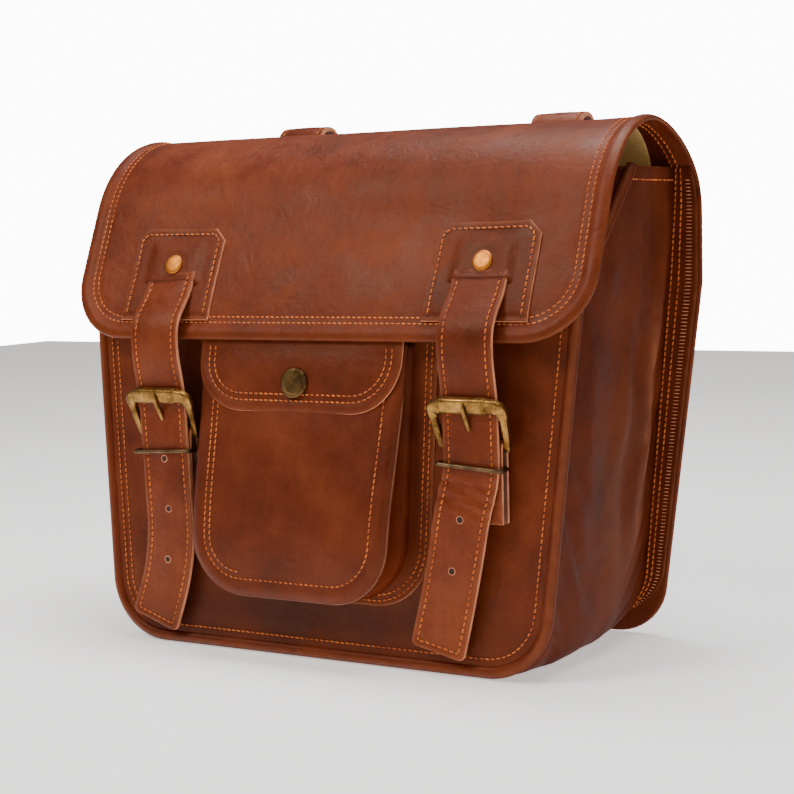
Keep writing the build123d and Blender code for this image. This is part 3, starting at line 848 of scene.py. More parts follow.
# ---------------------------------------------------------------- shell: back panel and flap
back_y = BACK_Y - LEATHER / 2
rear_centre = (CREST_Y, CREST_Z - REAR_ARC)
front_centre = (CREST_Y, CREST_Z - FRONT_ARC)
slope_start = (
    CREST_Y + FRONT_ARC * cos(radians(180 - FLAP_SLOPE)),
    CREST_Z - FRONT_ARC + FRONT_ARC * sin(radians(180 - FLAP_SLOPE)),
)
slope_drop = slope_start[1] - FLAP_EDGE_Z
SHELL_ROUTE = Route(
    [(back_y, z) for z in np.linspace(0, CREST_Z - REAR_ARC, 60)]
    + arc(rear_centre, REAR_ARC, 0, 90)
    + arc(front_centre, FRONT_ARC, 90, 180 - FLAP_SLOPE)
    + [(slope_start[0] - d * tan(radians(FLAP_SLOPE)), slope_start[1] - d)
       for d in np.linspace(1, slope_drop, 30)]
)
ARC_START = CREST_Z - REAR_ARC
CREST_S = ARC_START + REAR_ARC * pi / 2
SLOPE_S = SHELL_ROUTE.total - slope_drop / cos(radians(FLAP_SLOPE))
BACK_LEAN = (BACK_HALF - BACK_HALF_BASE) / SHOULDER_Z
SHELL_SEAMS = (9.2, 12.4)
SEAMS_MEET_S = CREST_S - 75  # where the back's rows of stitches end and the flap's begin


def shell_half(s):
    """Half width of the shell's leather along its length."""
    tapered = BACK_HALF_BASE + BACK_LEAN * min(s, SHOULDER_Z)
    return tapered - (BACK_HALF - FLAP_HALF) * float(smooth(s, ARC_START - 10, CREST_S))


def slope_s(z):
    """Where on the shell's route its sloping front is at height z."""
    return SHELL_ROUTE.total - (z - FLAP_EDGE_Z) / cos(radians(FLAP_SLOPE))


def shell_relief(x, s, edge):
    """Rolled hem round the flap, dips where the stitches pull, and a soft unevenness."""
    on_flap = smooth(s, ARC_START, CREST_S)
    roll = 1.1 * hump(edge, 4.2, 3.2) * on_flap
    dips = -0.5 * sum(hump(edge, seam, 0.9) for seam in SHELL_SEAMS) * on_flap
    soft = smooth(edge, 8, 40)
    uneven = soft * (0.9 * wander(x, s, 3, 120.0) * smooth(s, ARC_START, SLOPE_S)
                     + 0.8 * wander(x, s, 4, 150.0) * (1 - smooth(s, 200, 300)))
    sag = -2.2 * hump(s, SLOPE_S + 12, 34) * smooth(edge, 15, 90)
    return roll + dips + uneven + sag


shell_rows = round_end(BACK_HALF_BASE, BACK_CORNER, BACK_LEAN)
shell_rows += straight_rows(shell_rows[-1][0], SHELL_ROUTE.total - FLAP_CORNER, shell_half, 2.6)
shell_rows += flipped(round_end(FLAP_HALF, FLAP_CORNER), SHELL_ROUTE.total)[1:]
SHELL_SHEET = Sheet(
    shell_rows, SHELL_ROUTE.place, columns=120, relief=shell_relief, hem=1.1, cut_wear=0.25,
)


def across_hinge(piece):
    """Bake the piece's placement into its mesh."""
    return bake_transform(piece)


def build_shell():
    shell = SHELL_SHEET.build("shell_leather_sheet", SHELL, DARK, SHELL)
    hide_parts("back_panel", "flap")
    across_hinge(shell)

    sewing = Sewing()
    surface = SHELL_SHEET.surface
    for inset in SHELL_SEAMS:
        sewing.row(surface, flap_border(inset))
        sewing.row(surface, flap_border(inset), face=-1)
    for side in (-1, 1):
        for inset in SHELL_SEAMS:
            sewing.row(surface, back_border(side, inset))
    thread_piece = sewing.build("shell_stitching")
    across_hinge(thread_piece)


def flap_border(inset):
    """Round the flap's edge, from where the back's rows end on one side to the other side."""
    points = ring_points(SHELL_SHEET.rows, inset)
    return points[points[:, 1] > SEAMS_MEET_S]


def back_border(side, inset):
    """Up one side of the back panel."""
    points = ring_points(SHELL_SHEET.rows, inset)
    return points[(points[:, 1] < SEAMS_MEET_S) & (points[:, 0] * side > 0)]


build_shell()


# ---------------------------------------------------------------- front panel and rim
FRONT_LEAN = (SHOULDER_Y - FRONT_Y) / SHOULDER_Z
BODY_LEAN = (BODY_HALF - BODY_HALF_BASE) / MOUTH_Z
half_leather = LEATHER / 2
FRONT_ROUTE = Route(
    eased(
        [
            (FRONT_Y + half_leather, 0), (FRONT_Y + half_leather + FRONT_LEAN * 95, 95),
            (SHOULDER_Y + half_leather, SHOULDER_Z), (MOUTH_Y + half_leather, MOUTH_Z),
        ],
        16, 12,
    ),
    out=-1,
)


def body_half(z):
    return BODY_HALF_BASE + BODY_LEAN * z


def front_s(z):
    return np.interp(z, FRONT_ROUTE.points[:, 1], FRONT_ROUTE.lengths)


def front_relief(x, s, edge):
    """Panel pulled in at its seam, slack and uneven in the middle."""
    seam = -0.5 * hump(edge, 0.5, 1.2) - 0.4 * hump(edge, 7.6, 2.2)
    belly = 1.2 * smooth(edge, 8, 60) * hump(s, 60, 60)
    uneven = 0.7 * wander(x, s, 11, 95.0) * smooth(edge, 8, 30)
    return seam + belly + uneven * smooth(np.abs(x - POCKET_X), 66, 90)


def panel_half(s):
    height = float(np.interp(s, FRONT_ROUTE.lengths, FRONT_ROUTE.points[:, 1]))
    return body_half(height) - RIM_WIDTH


RIM_WIDTH = 4.0
front_base = round_end(
    BODY_HALF_BASE - RIM_WIDTH + BODY_LEAN * RIM_WIDTH, BODY_CORNER - RIM_WIDTH, BODY_LEAN
)
front_rows = [(s + RIM_WIDTH, half, a, b) for s, half, a, b in front_base]
front_rows += straight_rows(front_rows[-1][0], FRONT_ROUTE.total, panel_half, 2.6, True)
FRONT_SHEET = Sheet(front_rows, FRONT_ROUTE.place, columns=110, relief=front_relief, hem=0.6)


def body_ring(inset=0.0, step=2.5):
    """The body's outline in front view, (x, z) from the left mouth round the base."""
    rows = round_end(BODY_HALF_BASE, BODY_CORNER, BODY_LEAN, 20)
    rows += straight_rows(rows[-1][0], MOUTH_Z, body_half, step)
    rows = np.array(rows)
    half, z = rows[:, 1] - inset * rows[:, 2], rows[:, 0] + inset * rows[:, 3]
    side = np.stack([half, z], axis=1)
    flat = np.linspace(-half[0], half[0], int(2 * half[0] / step))[1:-1]
    base = np.stack([flat, np.full(len(flat), z[0])], axis=1)
    left = np.stack([-side[:, 0], side[:, 1]], axis=1)[::-1]
    return np.concatenate([left, base, side])


def ring_normals(ring):
    """Outward directions of the body's outline in front view."""
    tangent = np.gradient(ring, axis=0)
    tangent /= np.linalg.norm(tangent, axis=1)[:, None]
    return np.stack([tangent[:, 1], -tangent[:, 0]], axis=1)


def rolled_open(border):
    """Start the run at its widest gap, so that it reads as one open line."""
    steps = np.linalg.norm(np.diff(border, axis=0, append=border[:1]), axis=1)
    return np.roll(border, -int(np.argmax(steps)) - 1, axis=0)


def build_front():
    panel = FRONT_SHEET.build("front_leather_sheet", DARK, FLESH, DARK)
    # A paler rubbed patch at the lower left stitches, and painted shade darkening the lower front.
    paint_wear_and_light(panel, [
        ((-119, -66, 30), (6, 20, 15), 0.8), ((-113, -66, 16), (10, 20, 4), 0.4),
        ((-20, -66, 24), (125, 30, 20), -0.9),
    ])
    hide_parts("front_panel")
    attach(panel, "bag")

    sewing = Sewing()
    for inset, right_end in ((5.8, BODY_HALF), (9.6, 96.0)):
        border = ring_points(FRONT_SHEET.rows, inset)
        border = border[border[:, 1] < FRONT_ROUTE.total - 3]
        border = rolled_open(border)
        border = border[border[:, 0] < right_end]
        sewing.row(FRONT_SHEET.surface, border)
    mouth = [(x, FRONT_ROUTE.total - 5) for x in np.linspace(-140, 140, 120)]
    sewing.row(FRONT_SHEET.surface, mouth)
    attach(sewing.build("front_stitching"), "bag")


def build_rim():
    """The seam's rolled edge: a fat bead with a groove where the two leathers meet."""
    ring = body_ring(step=3.0)
    out = ring_normals(ring)
    section = []
    for turn in np.linspace(0, 2 * pi, 21)[:-1]:
        across, along = cos(turn), sin(turn)
        bulk = 1.0 - 0.26 * float(hump(turn, 0.75, 0.20))
        section.append((3.1 * across * bulk - 3.1, 2.4 * along * bulk))
    count, sides = len(ring), len(section)
    points = []
    for (x, z), (out_x, out_z) in zip(ring, out):
        y, _ = FRONT_ROUTE.at(front_s(z))
        out_y, up_z = FRONT_ROUTE.read(front_s(z), FRONT_ROUTE.normals)
        for across, forward in section:
            points.append((
                x + across * out_x,
                float(y) + (forward + 0.2) * float(out_y),
                z + across * out_z + (forward + 0.2) * float(up_z),
            ))
    wear_and_painted_light = [0.35 if j in (2, 3, 4, 5) else 0.0 for _ in range(count) for j in range(sides)]
    rim = new_mesh("front_rim_roll", points, ring_faces(count, sides), (DARK,), None, wear_and_painted_light)
    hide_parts("front_rim")
    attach(rim, "bag")


build_front()
build_rim()


# ---------------------------------------------------------------- gusset
GUSSET_BACK_Y = BACK_Y - LEATHER - 0.4
GUSSET_LEATHER = 2.2
SETTLE_FRAMES, SETTLE_CAP = 18, 4.0
FEED_PITCH = 1.9


def gusset_front_y(z):
    y, _ = FRONT_ROUTE.at(front_s(z))
    return y + 1.5


def gusset_folds(z, v):
    """Soft folds of the side leather: how far it stands out of the plain wall."""
    body = np.sin(pi * np.clip(v, 0, 1)) ** 0.7
    height = smooth(z, 4, 60) * (1 - 0.75 * smooth(z, 205, 248))
    ridge = 4.6 * hump(v, 0.76 - 0.04 * np.sin(z / 45), 0.085) * smooth(z, 20, 90)
    ridge = ridge + 2.6 * hump(v, 0.50 + 0.0012 * (z - 110), 0.06) * hump(z, 150, 60)
    valley = -5.4 * hump(v, 0.92, 0.055) - 3.2 * hump(v, 0.36, 0.20) - 1.8 * hump(v, 0.62, 0.05)
    fan = 1.5 * np.sin(v * 30 + z * 0.075) * hump(z, 30, 24) * smooth(v, 0.35, 0.75)
    drift = 1.3 * wander(v * 110, z, 21, 60.0)
    return body * (height * (ridge + valley + drift) + fan)


def settled(points, pinned, name):
    """The points after the side leather has settled as cloth, none moved beyond SETTLE_CAP."""
    obj = new_mesh(name, points.reshape(-1, 3), grid_faces(*points.shape[:2]), ())
    group = obj.vertex_groups.new(name="sewn")
    group.add([int(k) for k in np.flatnonzero(pinned)], 1.0, "REPLACE")
    cloth = obj.modifiers.new("Cloth", "CLOTH").settings
    cloth.vertex_group_mass = "sewn"
    cloth.quality = 6
    cloth.mass = 0.9
    cloth.tension_stiffness = cloth.compression_stiffness = 12
    cloth.shear_stiffness = 6
    cloth.bending_stiffness = 4
    cloth.shrink_min = -0.016
    scene = bpy.context.scene
    for number_of_frame in range(1, SETTLE_FRAMES + 1):
        scene.frame_set(number_of_frame)
    graph = bpy.context.evaluated_depsgraph_get()
    mesh = obj.evaluated_get(graph).to_mesh()
    result = np.array([v.co for v in mesh.vertices]) / MM
    obj.evaluated_get(graph).to_mesh_clear()
    bpy.data.objects.remove(obj)
    scene.frame_set(1)
    moved = result.reshape(points.shape) - points
    size = np.linalg.norm(moved, axis=-1, keepdims=True)
    return points + moved * np.minimum(1.0, SETTLE_CAP / np.maximum(size, 1e-6))


def build_gusset():
    ring = body_ring(inset=half_leather, step=3.5)
    out = ring_normals(ring)
    shares = np.concatenate([np.linspace(0, 0.9, 26), np.linspace(0.92, 1.0, 8)])
    z = ring[:, 1][:, None] + 0 * shares
    front, back = gusset_front_y(z), GUSSET_BACK_Y - half_leather
    y = front + (back - front) * shares
    standing = gusset_folds(z, shares + 0 * z)
    standing = np.where(z < 2.5, np.minimum(standing, 0) * 0.3, standing)
    standing = standing - 1.4 * hump(shares, 0, 0.03)
    points = np.stack([
        ring[:, 0][:, None] + standing * out[:, 0][:, None],
        y,
        z + standing * out[:, 1][:, None],
    ], axis=-1)
    pinned = np.zeros(z.shape, bool)
    pinned[:, 0] = pinned[:, -1] = True
    pinned[0] = pinned[-1] = True
    pinned |= z < 2.5
    points = settled(points, pinned, "gusset_cloth")
    wall = points

    # The back seam: the wall turns outward and lies on the back panel's margin.
    flange = []
    base = wall[:, -1]
    room = np.array([shell_half(float(h)) for h in ring[:, 1]]) - np.abs(ring[:, 0]) - 3.0
    corner = smooth(ring[:, 1], 6, 34)
    room = np.clip(room, 2.0, None) * np.abs(out[:, 0]) * corner + 1.2
    for share in (0.08, 0.24, 0.46, 0.62, 0.88, 1.0):
        reach = room * share
        rise = 1.6 * (1 - share) ** 3
        spot = base.copy()
        spot[:, 0] += out[:, 0] * reach
        spot[:, 2] += out[:, 1] * reach * 0.2
        spot[:, 1] = GUSSET_BACK_Y - half_leather - rise * 0.6
        flange.append(spot)
    sheet = np.concatenate([wall, np.stack(flange, axis=1)], axis=1)
    wear_and_painted_light = np.zeros(sheet.shape[:2])
    # Painted shade darkens the fold where the wall turns onto the flange; the flange's outer edge is paler,
    # rubbed.
    wear_and_painted_light[:, -7:-5] = -0.35
    wear_and_painted_light[:, -1] = 0.35
    # Painted highlights: a streak along the fold ridge and a broad lighter band across the middle of the wall.
    painted_highlight_streak = hump(shares, 0.77, 0.045)[None, :] * smooth(z, 30, 80) * (1 - smooth(z, 150, 200))
    wear_and_painted_light[:, :len(shares)] += 0.75 * painted_highlight_streak
    painted_broad_highlight = hump(shares, 0.52, 0.13)[None, :] * smooth(z, 10, 60) * (1 - smooth(z, 120, 190))
    wear_and_painted_light[:, :len(shares)] += 0.22 * painted_broad_highlight
    gusset = new_mesh(
        "gusset_leather", sheet.reshape(-1, 3), grid_faces(*sheet.shape[:2], turned=True),
        (SIDE, FLESH), None, wear_and_painted_light.reshape(-1),
    )
    thicken(gusset, GUSSET_LEATHER)
    round_off = gusset.modifiers.new("rounding", "BEVEL")
    round_off.width = 0.6 * MM
    round_off.segments = 2
    round_off.limit_method = "ANGLE"
    round_off.angle_limit = radians(60)
    baked(gusset)
    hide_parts("gusset")
    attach(gusset, "bag")

    sewing = Sewing()
    marks = Sewing(radius=0.24, slant=0.0)
    flange_points = np.stack(flange, axis=1)
    face = np.array((0.0, -1.0, 0.0))
    proud = 1.15  # just above the leather's outer face
    for side in (-1, 1):
        chosen = flange_points[(ring[:, 0] * side > 0) & (ring[:, 1] > 6)]
        for level in (1, 2):
            base = chosen[:, level] + proud * face
            sewing.along(base, np.tile(face, (len(base), 1)))
        for inner, outer in feed_marks(chosen[:, 3] + 1.05 * face, chosen[:, 4] + 1.05 * face):
            marks.stitch(inner, face, outer, face)
    top_rows = ((wall[0, :-2], wall[3, :-2]), (wall[-1, :-2], wall[-4, :-2]))
    for top, below in top_rows:
        place = top + (below - top) * 0.62
        outward = np.tile((np.sign(place[0, 0]), 0.0, 0.0), (len(place), 1))
        sewing.along(place + outward * proud, outward)
    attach(sewing.build("gusset_stitching"), "bag")
    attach(marks.build("flange_feed_marks", EDGE), "bag")


def feed_marks(inner, outer):
    """Pairs of points across the flange, evenly spaced along it: the sewing machine's teeth."""
    lengths = lengths_along(inner)
    for distance in np.arange(14, lengths[-1] - 6, FEED_PITCH):
        yield tuple(
            np.array([np.interp(distance, lengths, line[:, k]) for k in range(3)])
            for line in (inner, outer)
        )


build_gusset()


# ---------------------------------------------------------------- straps
STRAP_Y = -68.5
STRAP_TIP_Z = low("left_strap")[2]


def strap_route(side):
    """Side view of a strap: out from under the patch's lip, down over the pocketed front."""
    _, slit_y, _ = SHELL_SHEET.surface([SLIT_X[side]], [SLIT_S], LEATHER / 2)[0]
    return Route(eased(
        [
            (slit_y + 1.9, SLIT_Z + 6), (slit_y - 1.9, SLIT_Z), (slit_y - 5.9, SLIT_Z - 6.5),
            (-70.9, 175), (-71.4, 158), (-68.4, 143), (-67.8, 128), (STRAP_Y, 114),
            (STRAP_Y, 100), (STRAP_Y - 1.2, 84), (STRAP_Y, 60), (STRAP_Y + 0.6, 36),
            (STRAP_Y - 0.3, STRAP_TIP_Z),
        ],
        9, 8,
    ))


SLIT_S = slope_s(SLIT_Z)
STRAP_ROUTES = {side: strap_route(side) for side in SIDES}
# Middle line of each strap in front view, (z, x)
STRAP_LINES = {
    "left": ((194, -93), (151, -92), (128, -90.5), (100, -89), (70, -86.5), (43, -90), (12, -100.5)),
    "right": ((194, 95), (151, 95), (120, 96), (104, 96.5), (84, 91), (61, 86.5), (12, 75)),
}
STRAP_HOLES = {"left": (102.0, 75.0, 47.0), "right": (80.0, 54.0)}
# Heights of the creases below the right keeper
STRAP_CREASES = {"left": (), "right": (97, 93.5, 90, 86)}


def strap_place(side):
    route = STRAP_ROUTES[side]
    line = np.array(spaced(eased(STRAP_LINES[side], 14), 2.0))[::-1]
    heights = np.arange(line[0, 0], line[-1, 0], 1.0)
    middles = np.interp(heights, line[:, 0], line[:, 1])
    slopes = np.gradient(middles, heights)

    def place(x, s, offset):
        _, z = route.at(s)
        middle_x = np.interp(z, heights, middles)
        slope = np.interp(z, heights, slopes)
        point = route.place(x, s, offset)
        point[..., 0] = middle_x + x / np.hypot(1, slope)
        point[..., 2] = point[..., 2] - x * slope / np.hypot(1, slope)
        return point

    return place


def strap_s(side, z):
    route = STRAP_ROUTES[side]
    return float(np.interp(-z, -route.points[:, 1], route.lengths))


def strap_relief(side):
    seed = 31 if side == "left" else 32

    def relief(x, s, edge):
        groove = -0.32 * hump(edge, STRAP_SEAM, 0.8)
        roll = 0.22 * hump(edge, 1.6, 1.3)
        crown = 0.5 * smooth(edge, 3, 15)
        kinks = 0.0
        for k, z in enumerate(STRAP_CREASES[side]):
            kinks = kinks - 0.55 * hump(s + 0.12 * x * (-1) ** k, strap_s(side, z), 0.9)
        return groove + roll + crown + kinks + 0.35 * wander(x, s, seed, 45.0)

    return relief


def build_strap(side):
    half = STRAP_WIDTH / 2
    rows = [(0.0, half, 1.0, 1.0)]
    tail, corner = STRAP_ROUTES[side].total, 3.5
    rows += straight_rows(0.0, tail - corner, lambda s: half, 1.5)
    for share in np.linspace(0, 1, 7)[1:]:
        turn = share * pi / 2
        rows.append((
            tail - corner + corner * sin(turn), half - corner * share**2,
            1.0 - 0.6 * share, -share,
        ))
    sheet = Sheet(
        rows, strap_place(side), columns=26, relief=strap_relief(side), hem=0.45, dense=0.7
    )
    strap = sheet.build(f"{side}_strap_leather", STRAP, FLESH, EDGE)
    x = STRAP_LINES[side][-1][1]
    # A paler rubbed tail, and painted shade darkening the upper strap below the slit.
    paint_wear_and_light(strap, [((x, STRAP_Y, 25), (40, 20, 30), 0.12), ((SLIT_X[side], -71, 176), (30, 20, 16), -0.3)])
    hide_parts(f"{side}_strap")
    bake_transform(strap)
    sewing = Sewing(pitch=STRAP_PITCH, radius=STRAP_THREAD)
    outline = ring_points(sheet.rows, STRAP_SEAM)
    outline = outline[outline[:, 1] > 1.0]
    sewing.row(sheet.surface, outline)
    thread_piece = sewing.build(f"{side}_strap_stitching")
    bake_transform(thread_piece)
    for number, z in enumerate(STRAP_HOLES[side]):
        build_strap_hole(side, sheet, number, z)


def build_strap_hole(side, sheet, number, z):
    """A punched hole: a pale torn lip round a disc painted nearly black, the hole's painted shade."""
    centre, axis = sheet.outward(strap_s(side, z), LEATHER / 2)
    pit = lathe(
        f"{side}_strap_hole_{number + 1}",
        [(2.0, -0.5), (2.05, 0.06), (1.95, 0.24), (1.8, 0.28), (1.68, 0.22), (1.6, 0.12)],
        centre, axis, EDGE, 24,
    )
    # The inner disc is painted shade standing for the hole.
    pit.data.materials.append(NEEDLE_HOLE_SHADE)
    pit.data.polygons[len(pit.data.polygons) - 1].material_index = 1
    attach(pit, f"{side}_strap_unit")


# ---------------------------------------------------------------- patches, rivets
PATCH_WIDTH, PATCH_ABOVE, PATCH_BELOW = 58.0, 31.6, 21.2
PATCH_LEATHER = 1.8
RIVET_ABOVE_SLIT = 10.1


def build_patch(side):
    """Patch over the strap's sewn end, with a groove where its slit is, and the strap's rivet."""
    centre = SLIT_X[side]
    total = PATCH_ABOVE + PATCH_BELOW
    top_s = SLIT_S - PATCH_ABOVE
    slit_half, tab_half = 17.5, 19.5

    def place(x, s, offset):
        flat_s = top_s + s
        return SHELL_SHEET.surface(x, flat_s, LEATHER / 2 + offset + 0.45)

    def relief(x, s, edge):
        tab = 1.2 * smooth(tab_half - np.abs(x), 0, 7) * smooth(s, 5, 13)
        tab = tab * smooth(PATCH_ABOVE + 1.5 - s, 0, 1.5)
        sunk = -0.35 * hump(np.hypot(x, s - PATCH_ABOVE + RIVET_ABOVE_SLIT), 6.2, 1.8)
        lip = 0.7 * hump(s, PATCH_ABOVE - 1.2, 1.6) * smooth(slit_half - np.abs(x), 0, 3)
        slit = -2.4 * hump(s, PATCH_ABOVE + 0.7, 0.75) * smooth(slit_half - np.abs(x), 0, 2)
        groove = -0.28 * hump(edge, STRAP_SEAM, 0.8)
        return tab + sunk + lip + slit + groove + 0.15 * wander(x, s, 41, 30.0)

    half = PATCH_WIDTH / 2
    corner = 7
    rows = [(0.0, half - corner, 0.6, 1.0)]
    for share in (0.25, 0.5, 0.75, 1.0):
        rows.append((corner * share, half - corner + corner * share, 0.85, 0.4 * (1 - share)))
    rows += straight_rows(corner, total, lambda s: half, 0.9, True)
    sheet = Sheet(rows, place, thickness=PATCH_LEATHER, columns=44, relief=relief, hem=0.3,
                  centre=centre, dense=0.5)
    patch = sheet.build(f"{side}_patch_leather", POCKET, FLESH, EDGE)
    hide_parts(f"{side}_patch", f"{side}_strap_tab")
    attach(patch, "flap")

    sewing = Sewing(pitch=STRAP_PITCH, radius=STRAP_THREAD)
    sewing.border(sheet, STRAP_SEAM, lambda s: s < total - 1.5)
    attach(sewing.build(f"{side}_patch_stitching"), "flap")

    centre_point, axis = sheet.outward(PATCH_ABOVE - RIVET_ABOVE_SLIT, PATCH_LEATHER / 2)
    build_rivet(f"{side}_rivet_cap", centre_point, axis, 5.5, "flap", f"{side}_strap_rivet")
    inner = SHELL_SHEET.surface(
        np.array([centre]), np.array([SLIT_S - RIVET_ABOVE_SLIT]), -LEATHER / 2)[0]
    build_rivet(f"{side}_rivet_back", inner, -axis, 4.5, "flap")


def build_rivet(name, centre, axis, radius, body, *nodes):
    """A domed brass cap, a little flattened by the setting tool."""
    profile = [
        (radius * 0.80, -0.7), (radius * 0.97, -0.4), (radius, 0.1), (radius * 0.985, 0.5),
        (radius * 0.93, 0.85), (radius * 0.82, 1.08), (radius * 0.64, 1.20),
        (radius * 0.40, 1.28), (radius * 0.16, 1.32), (radius * 0.04, 1.33),
    ]
    rivet = lathe(name, profile, centre, axis, BRIGHT)
    if nodes:
        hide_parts(*nodes)
    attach(rivet, body)
    return rivet


# ---------------------------------------------------------------- buckles
BUCKLE_TILT, BUCKLE_REACH = radians(23.0), 23.2
BUCKLE_HALF = (high("left_buckle")[0] - low("left_buckle")[0]) / 2 - 1.9
_, HEEL_Y, HEEL_Z = place_of("right_tongue_pivot", frame["joints"])


def buckle_point(centre, x, up, out=0.0):
    """A point in the buckle's own plane: x across, up from the heel bar, out of its face."""
    return (
        centre + x,
        HEEL_Y - up * sin(BUCKLE_TILT) - out * cos(BUCKLE_TILT),
        HEEL_Z + up * cos(BUCKLE_TILT) - out * sin(BUCKLE_TILT),
    )


def build_buckle(side):
    centre = BUCKLE_X[side]
    half, reach = BUCKLE_HALF, BUCKLE_REACH
    route = [
        (-half + 1.5, 0), (-half + 0.6, 6), (-half - 0.2, reach - 5), (-half + 2.5, reach),
        (0, reach), (half - 2.5, reach), (half + 0.2, reach - 5), (half - 0.6, 6), (half - 1.5, 0),
    ]
    path, across, thick = [], [], []
    for x, up in spaced(eased(route, 4.5, 7), 1.0):
        head = float(smooth(up, reach - 9, reach - 1))
        notch = 0.9 * float(hump(x, 0, 2.2)) * head
        path.append(buckle_point(centre, x, up, 0.3 * head))
        across.append(1.75 + 1.85 * head + 0.08 * sin(x * 1.3) + 0.07 * sin(up * 1.9) - 0.3 * notch)
        thick.append(1.70 + 0.35 * head - 0.5 * notch)
    up_axis = np.array(buckle_point(0, 0, 0, 1.0)) - np.array(buckle_point(0, 0, 0, 0))
    frame_bar = tube(
        f"{side}_buckle_frame", path, across, ANTIQUE, sides=20,
        flat=np.array(thick) / np.array(across), up=up_axis, square=0.25,
    )
    heel = tube(
        f"{side}_heel_bar",
        [buckle_point(centre, x, 0) for x in np.linspace(-half, half, 30)],
        1.65, ANTIQUE, sides=14, up=up_axis,
    )
    sleeve = tube(
        f"{side}_bar_sleeve",
        [buckle_point(centre, x, reach, 0.3) for x in
         (-14.0, -13.9, -13.4, -8.0, 0.0, 8.0, 10.9, 11.4, 11.5)],
        [3.3, 3.78, 3.98, 4.05, 4.0, 4.05, 3.98, 3.78, 3.3], ANTIQUE, sides=24, flat=0.60,
        up=up_axis, square=0.25,
    )
    buckle = joined(f"{side}_buckle_brass", frame_bar, heel, sleeve)
    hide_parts(f"{side}_buckle")
    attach(buckle, f"{side}_strap_unit")

    tongue_line = eased(
        [
            (HEEL_Y + 1.5, HEEL_Z - 3.4), (HEEL_Y - 3.2, HEEL_Z - 1.5), (HEEL_Y - 3.4, HEEL_Z + 5),
            (HEEL_Y - 8.6, HEEL_Z + 13.5), (HEEL_Y - 12.2, HEEL_Z + 18.6),
            (HEEL_Y - 12.9, HEEL_Z + 22.6),
        ],
        4, 8,
    )
    path = [(centre, y, z) for y, z in tongue_line]
    sizes = np.interp(np.linspace(0, 1, len(path)), (0, 0.15, 0.7, 0.95, 1), (1.2, 1.6, 1.45, 1.1, 0.7))
    tongue = tube(f"{side}_tongue_pin", path, sizes, ANTIQUE, sides=14, flat=0.85, up=(1, 0, 0))
    loop = [
        (centre, HEEL_Y + 2.6 * cos(t), HEEL_Z + 2.6 * sin(t))
        for t in np.linspace(0, 2 * pi, 24, endpoint=False)
    ]
    eye = tube(f"{side}_tongue_eye", loop, 1.0, ANTIQUE, closed=True, sides=10, up=(1, 0, 0))
    tongue = joined(f"{side}_tongue_brass", tongue, eye)
    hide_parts(f"{side}_tongue")
    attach(tongue, f"{side}_tongue")


def build_keeper(side):
    """The wire keeper: a bent bronze loop, not quite square."""
    low_corner, high_corner = low(f"{side}_keeper"), high(f"{side}_keeper")
    wire = 1.2
    ease = 0.6
    x0, x1 = low_corner[0] + wire - ease, high_corner[0] - wire + ease
    y0, y1 = low_corner[1] + wire - 1.5 * ease, high_corner[1] - wire
    z = (low_corner[2] + high_corner[2]) / 2
    tip = 1.2 if side == "right" else -0.9
    corners = [
        (x0, y0, z + tip), (x1, y0, z - tip), (x1, y1, z - tip * 0.6), (x0, y1, z + tip * 0.6),
        (x0, y0, z + tip),
    ]
    start = [(corners[0][0] + corners[1][0]) / 2, y0, z]
    run = eased([start] + corners[1:4] + [corners[0], start], 3.0, 7)
    path = np.array(run)[:-1]
    keeper = tube(f"{side}_keeper_wire", path, wire, BRONZE, closed=True, sides=12, up=(0, 0, 1))
    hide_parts(f"{side}_keeper")
    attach(keeper, f"{side}_keeper")


def build_chape(side):
    """Folded leather round the heel bar, with both its tails behind the strap."""
    centre = BUCKLE_X[side] + 1.2
    fold = 2.9
    bottom = low(f"{side}_chape")[2]
    route = Route(
        [(HEEL_Y + fold, bottom), (HEEL_Y + fold, bottom + 18)]
        + arc((HEEL_Y, HEEL_Z), fold, 0, 180, 0.5)
        + [(HEEL_Y - fold, bottom + 18), (HEEL_Y - fold, bottom)]
    )
    half = STRAP_WIDTH / 2
    rows = [(0.0, half, 1.0, 1.0)] + straight_rows(0.0, route.total, lambda s: half, 1.2, True)
    sheet = Sheet(rows, route.place, thickness=1.9, columns=16, hem=0.4, centre=centre)
    chape = sheet.build(f"{side}_chape_leather", STRAP, FLESH, EDGE)
    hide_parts(f"{side}_chape")
    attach(chape, f"{side}_strap_unit")


for side in SIDES:
    build_strap(side)
    build_patch(side)
    build_buckle(side)
    build_keeper(side)
    build_chape(side)


# ---------------------------------------------------------------- pocket
POCKET_HALF = (high("pocket_front")[0] - low("pocket_front")[0]) / 2
POCKET_BASE, POCKET_TOP = low("pocket_front")[2], high("pocket_front")[2]
POCKET_CORNER, POCKET_TAPER = 32.0, 4.0
WALL_LEATHER = 1.3
POCKET_SEAM = 9.6
POCKET_LEAN = POCKET_TAPER / (POCKET_TOP - POCKET_BASE)


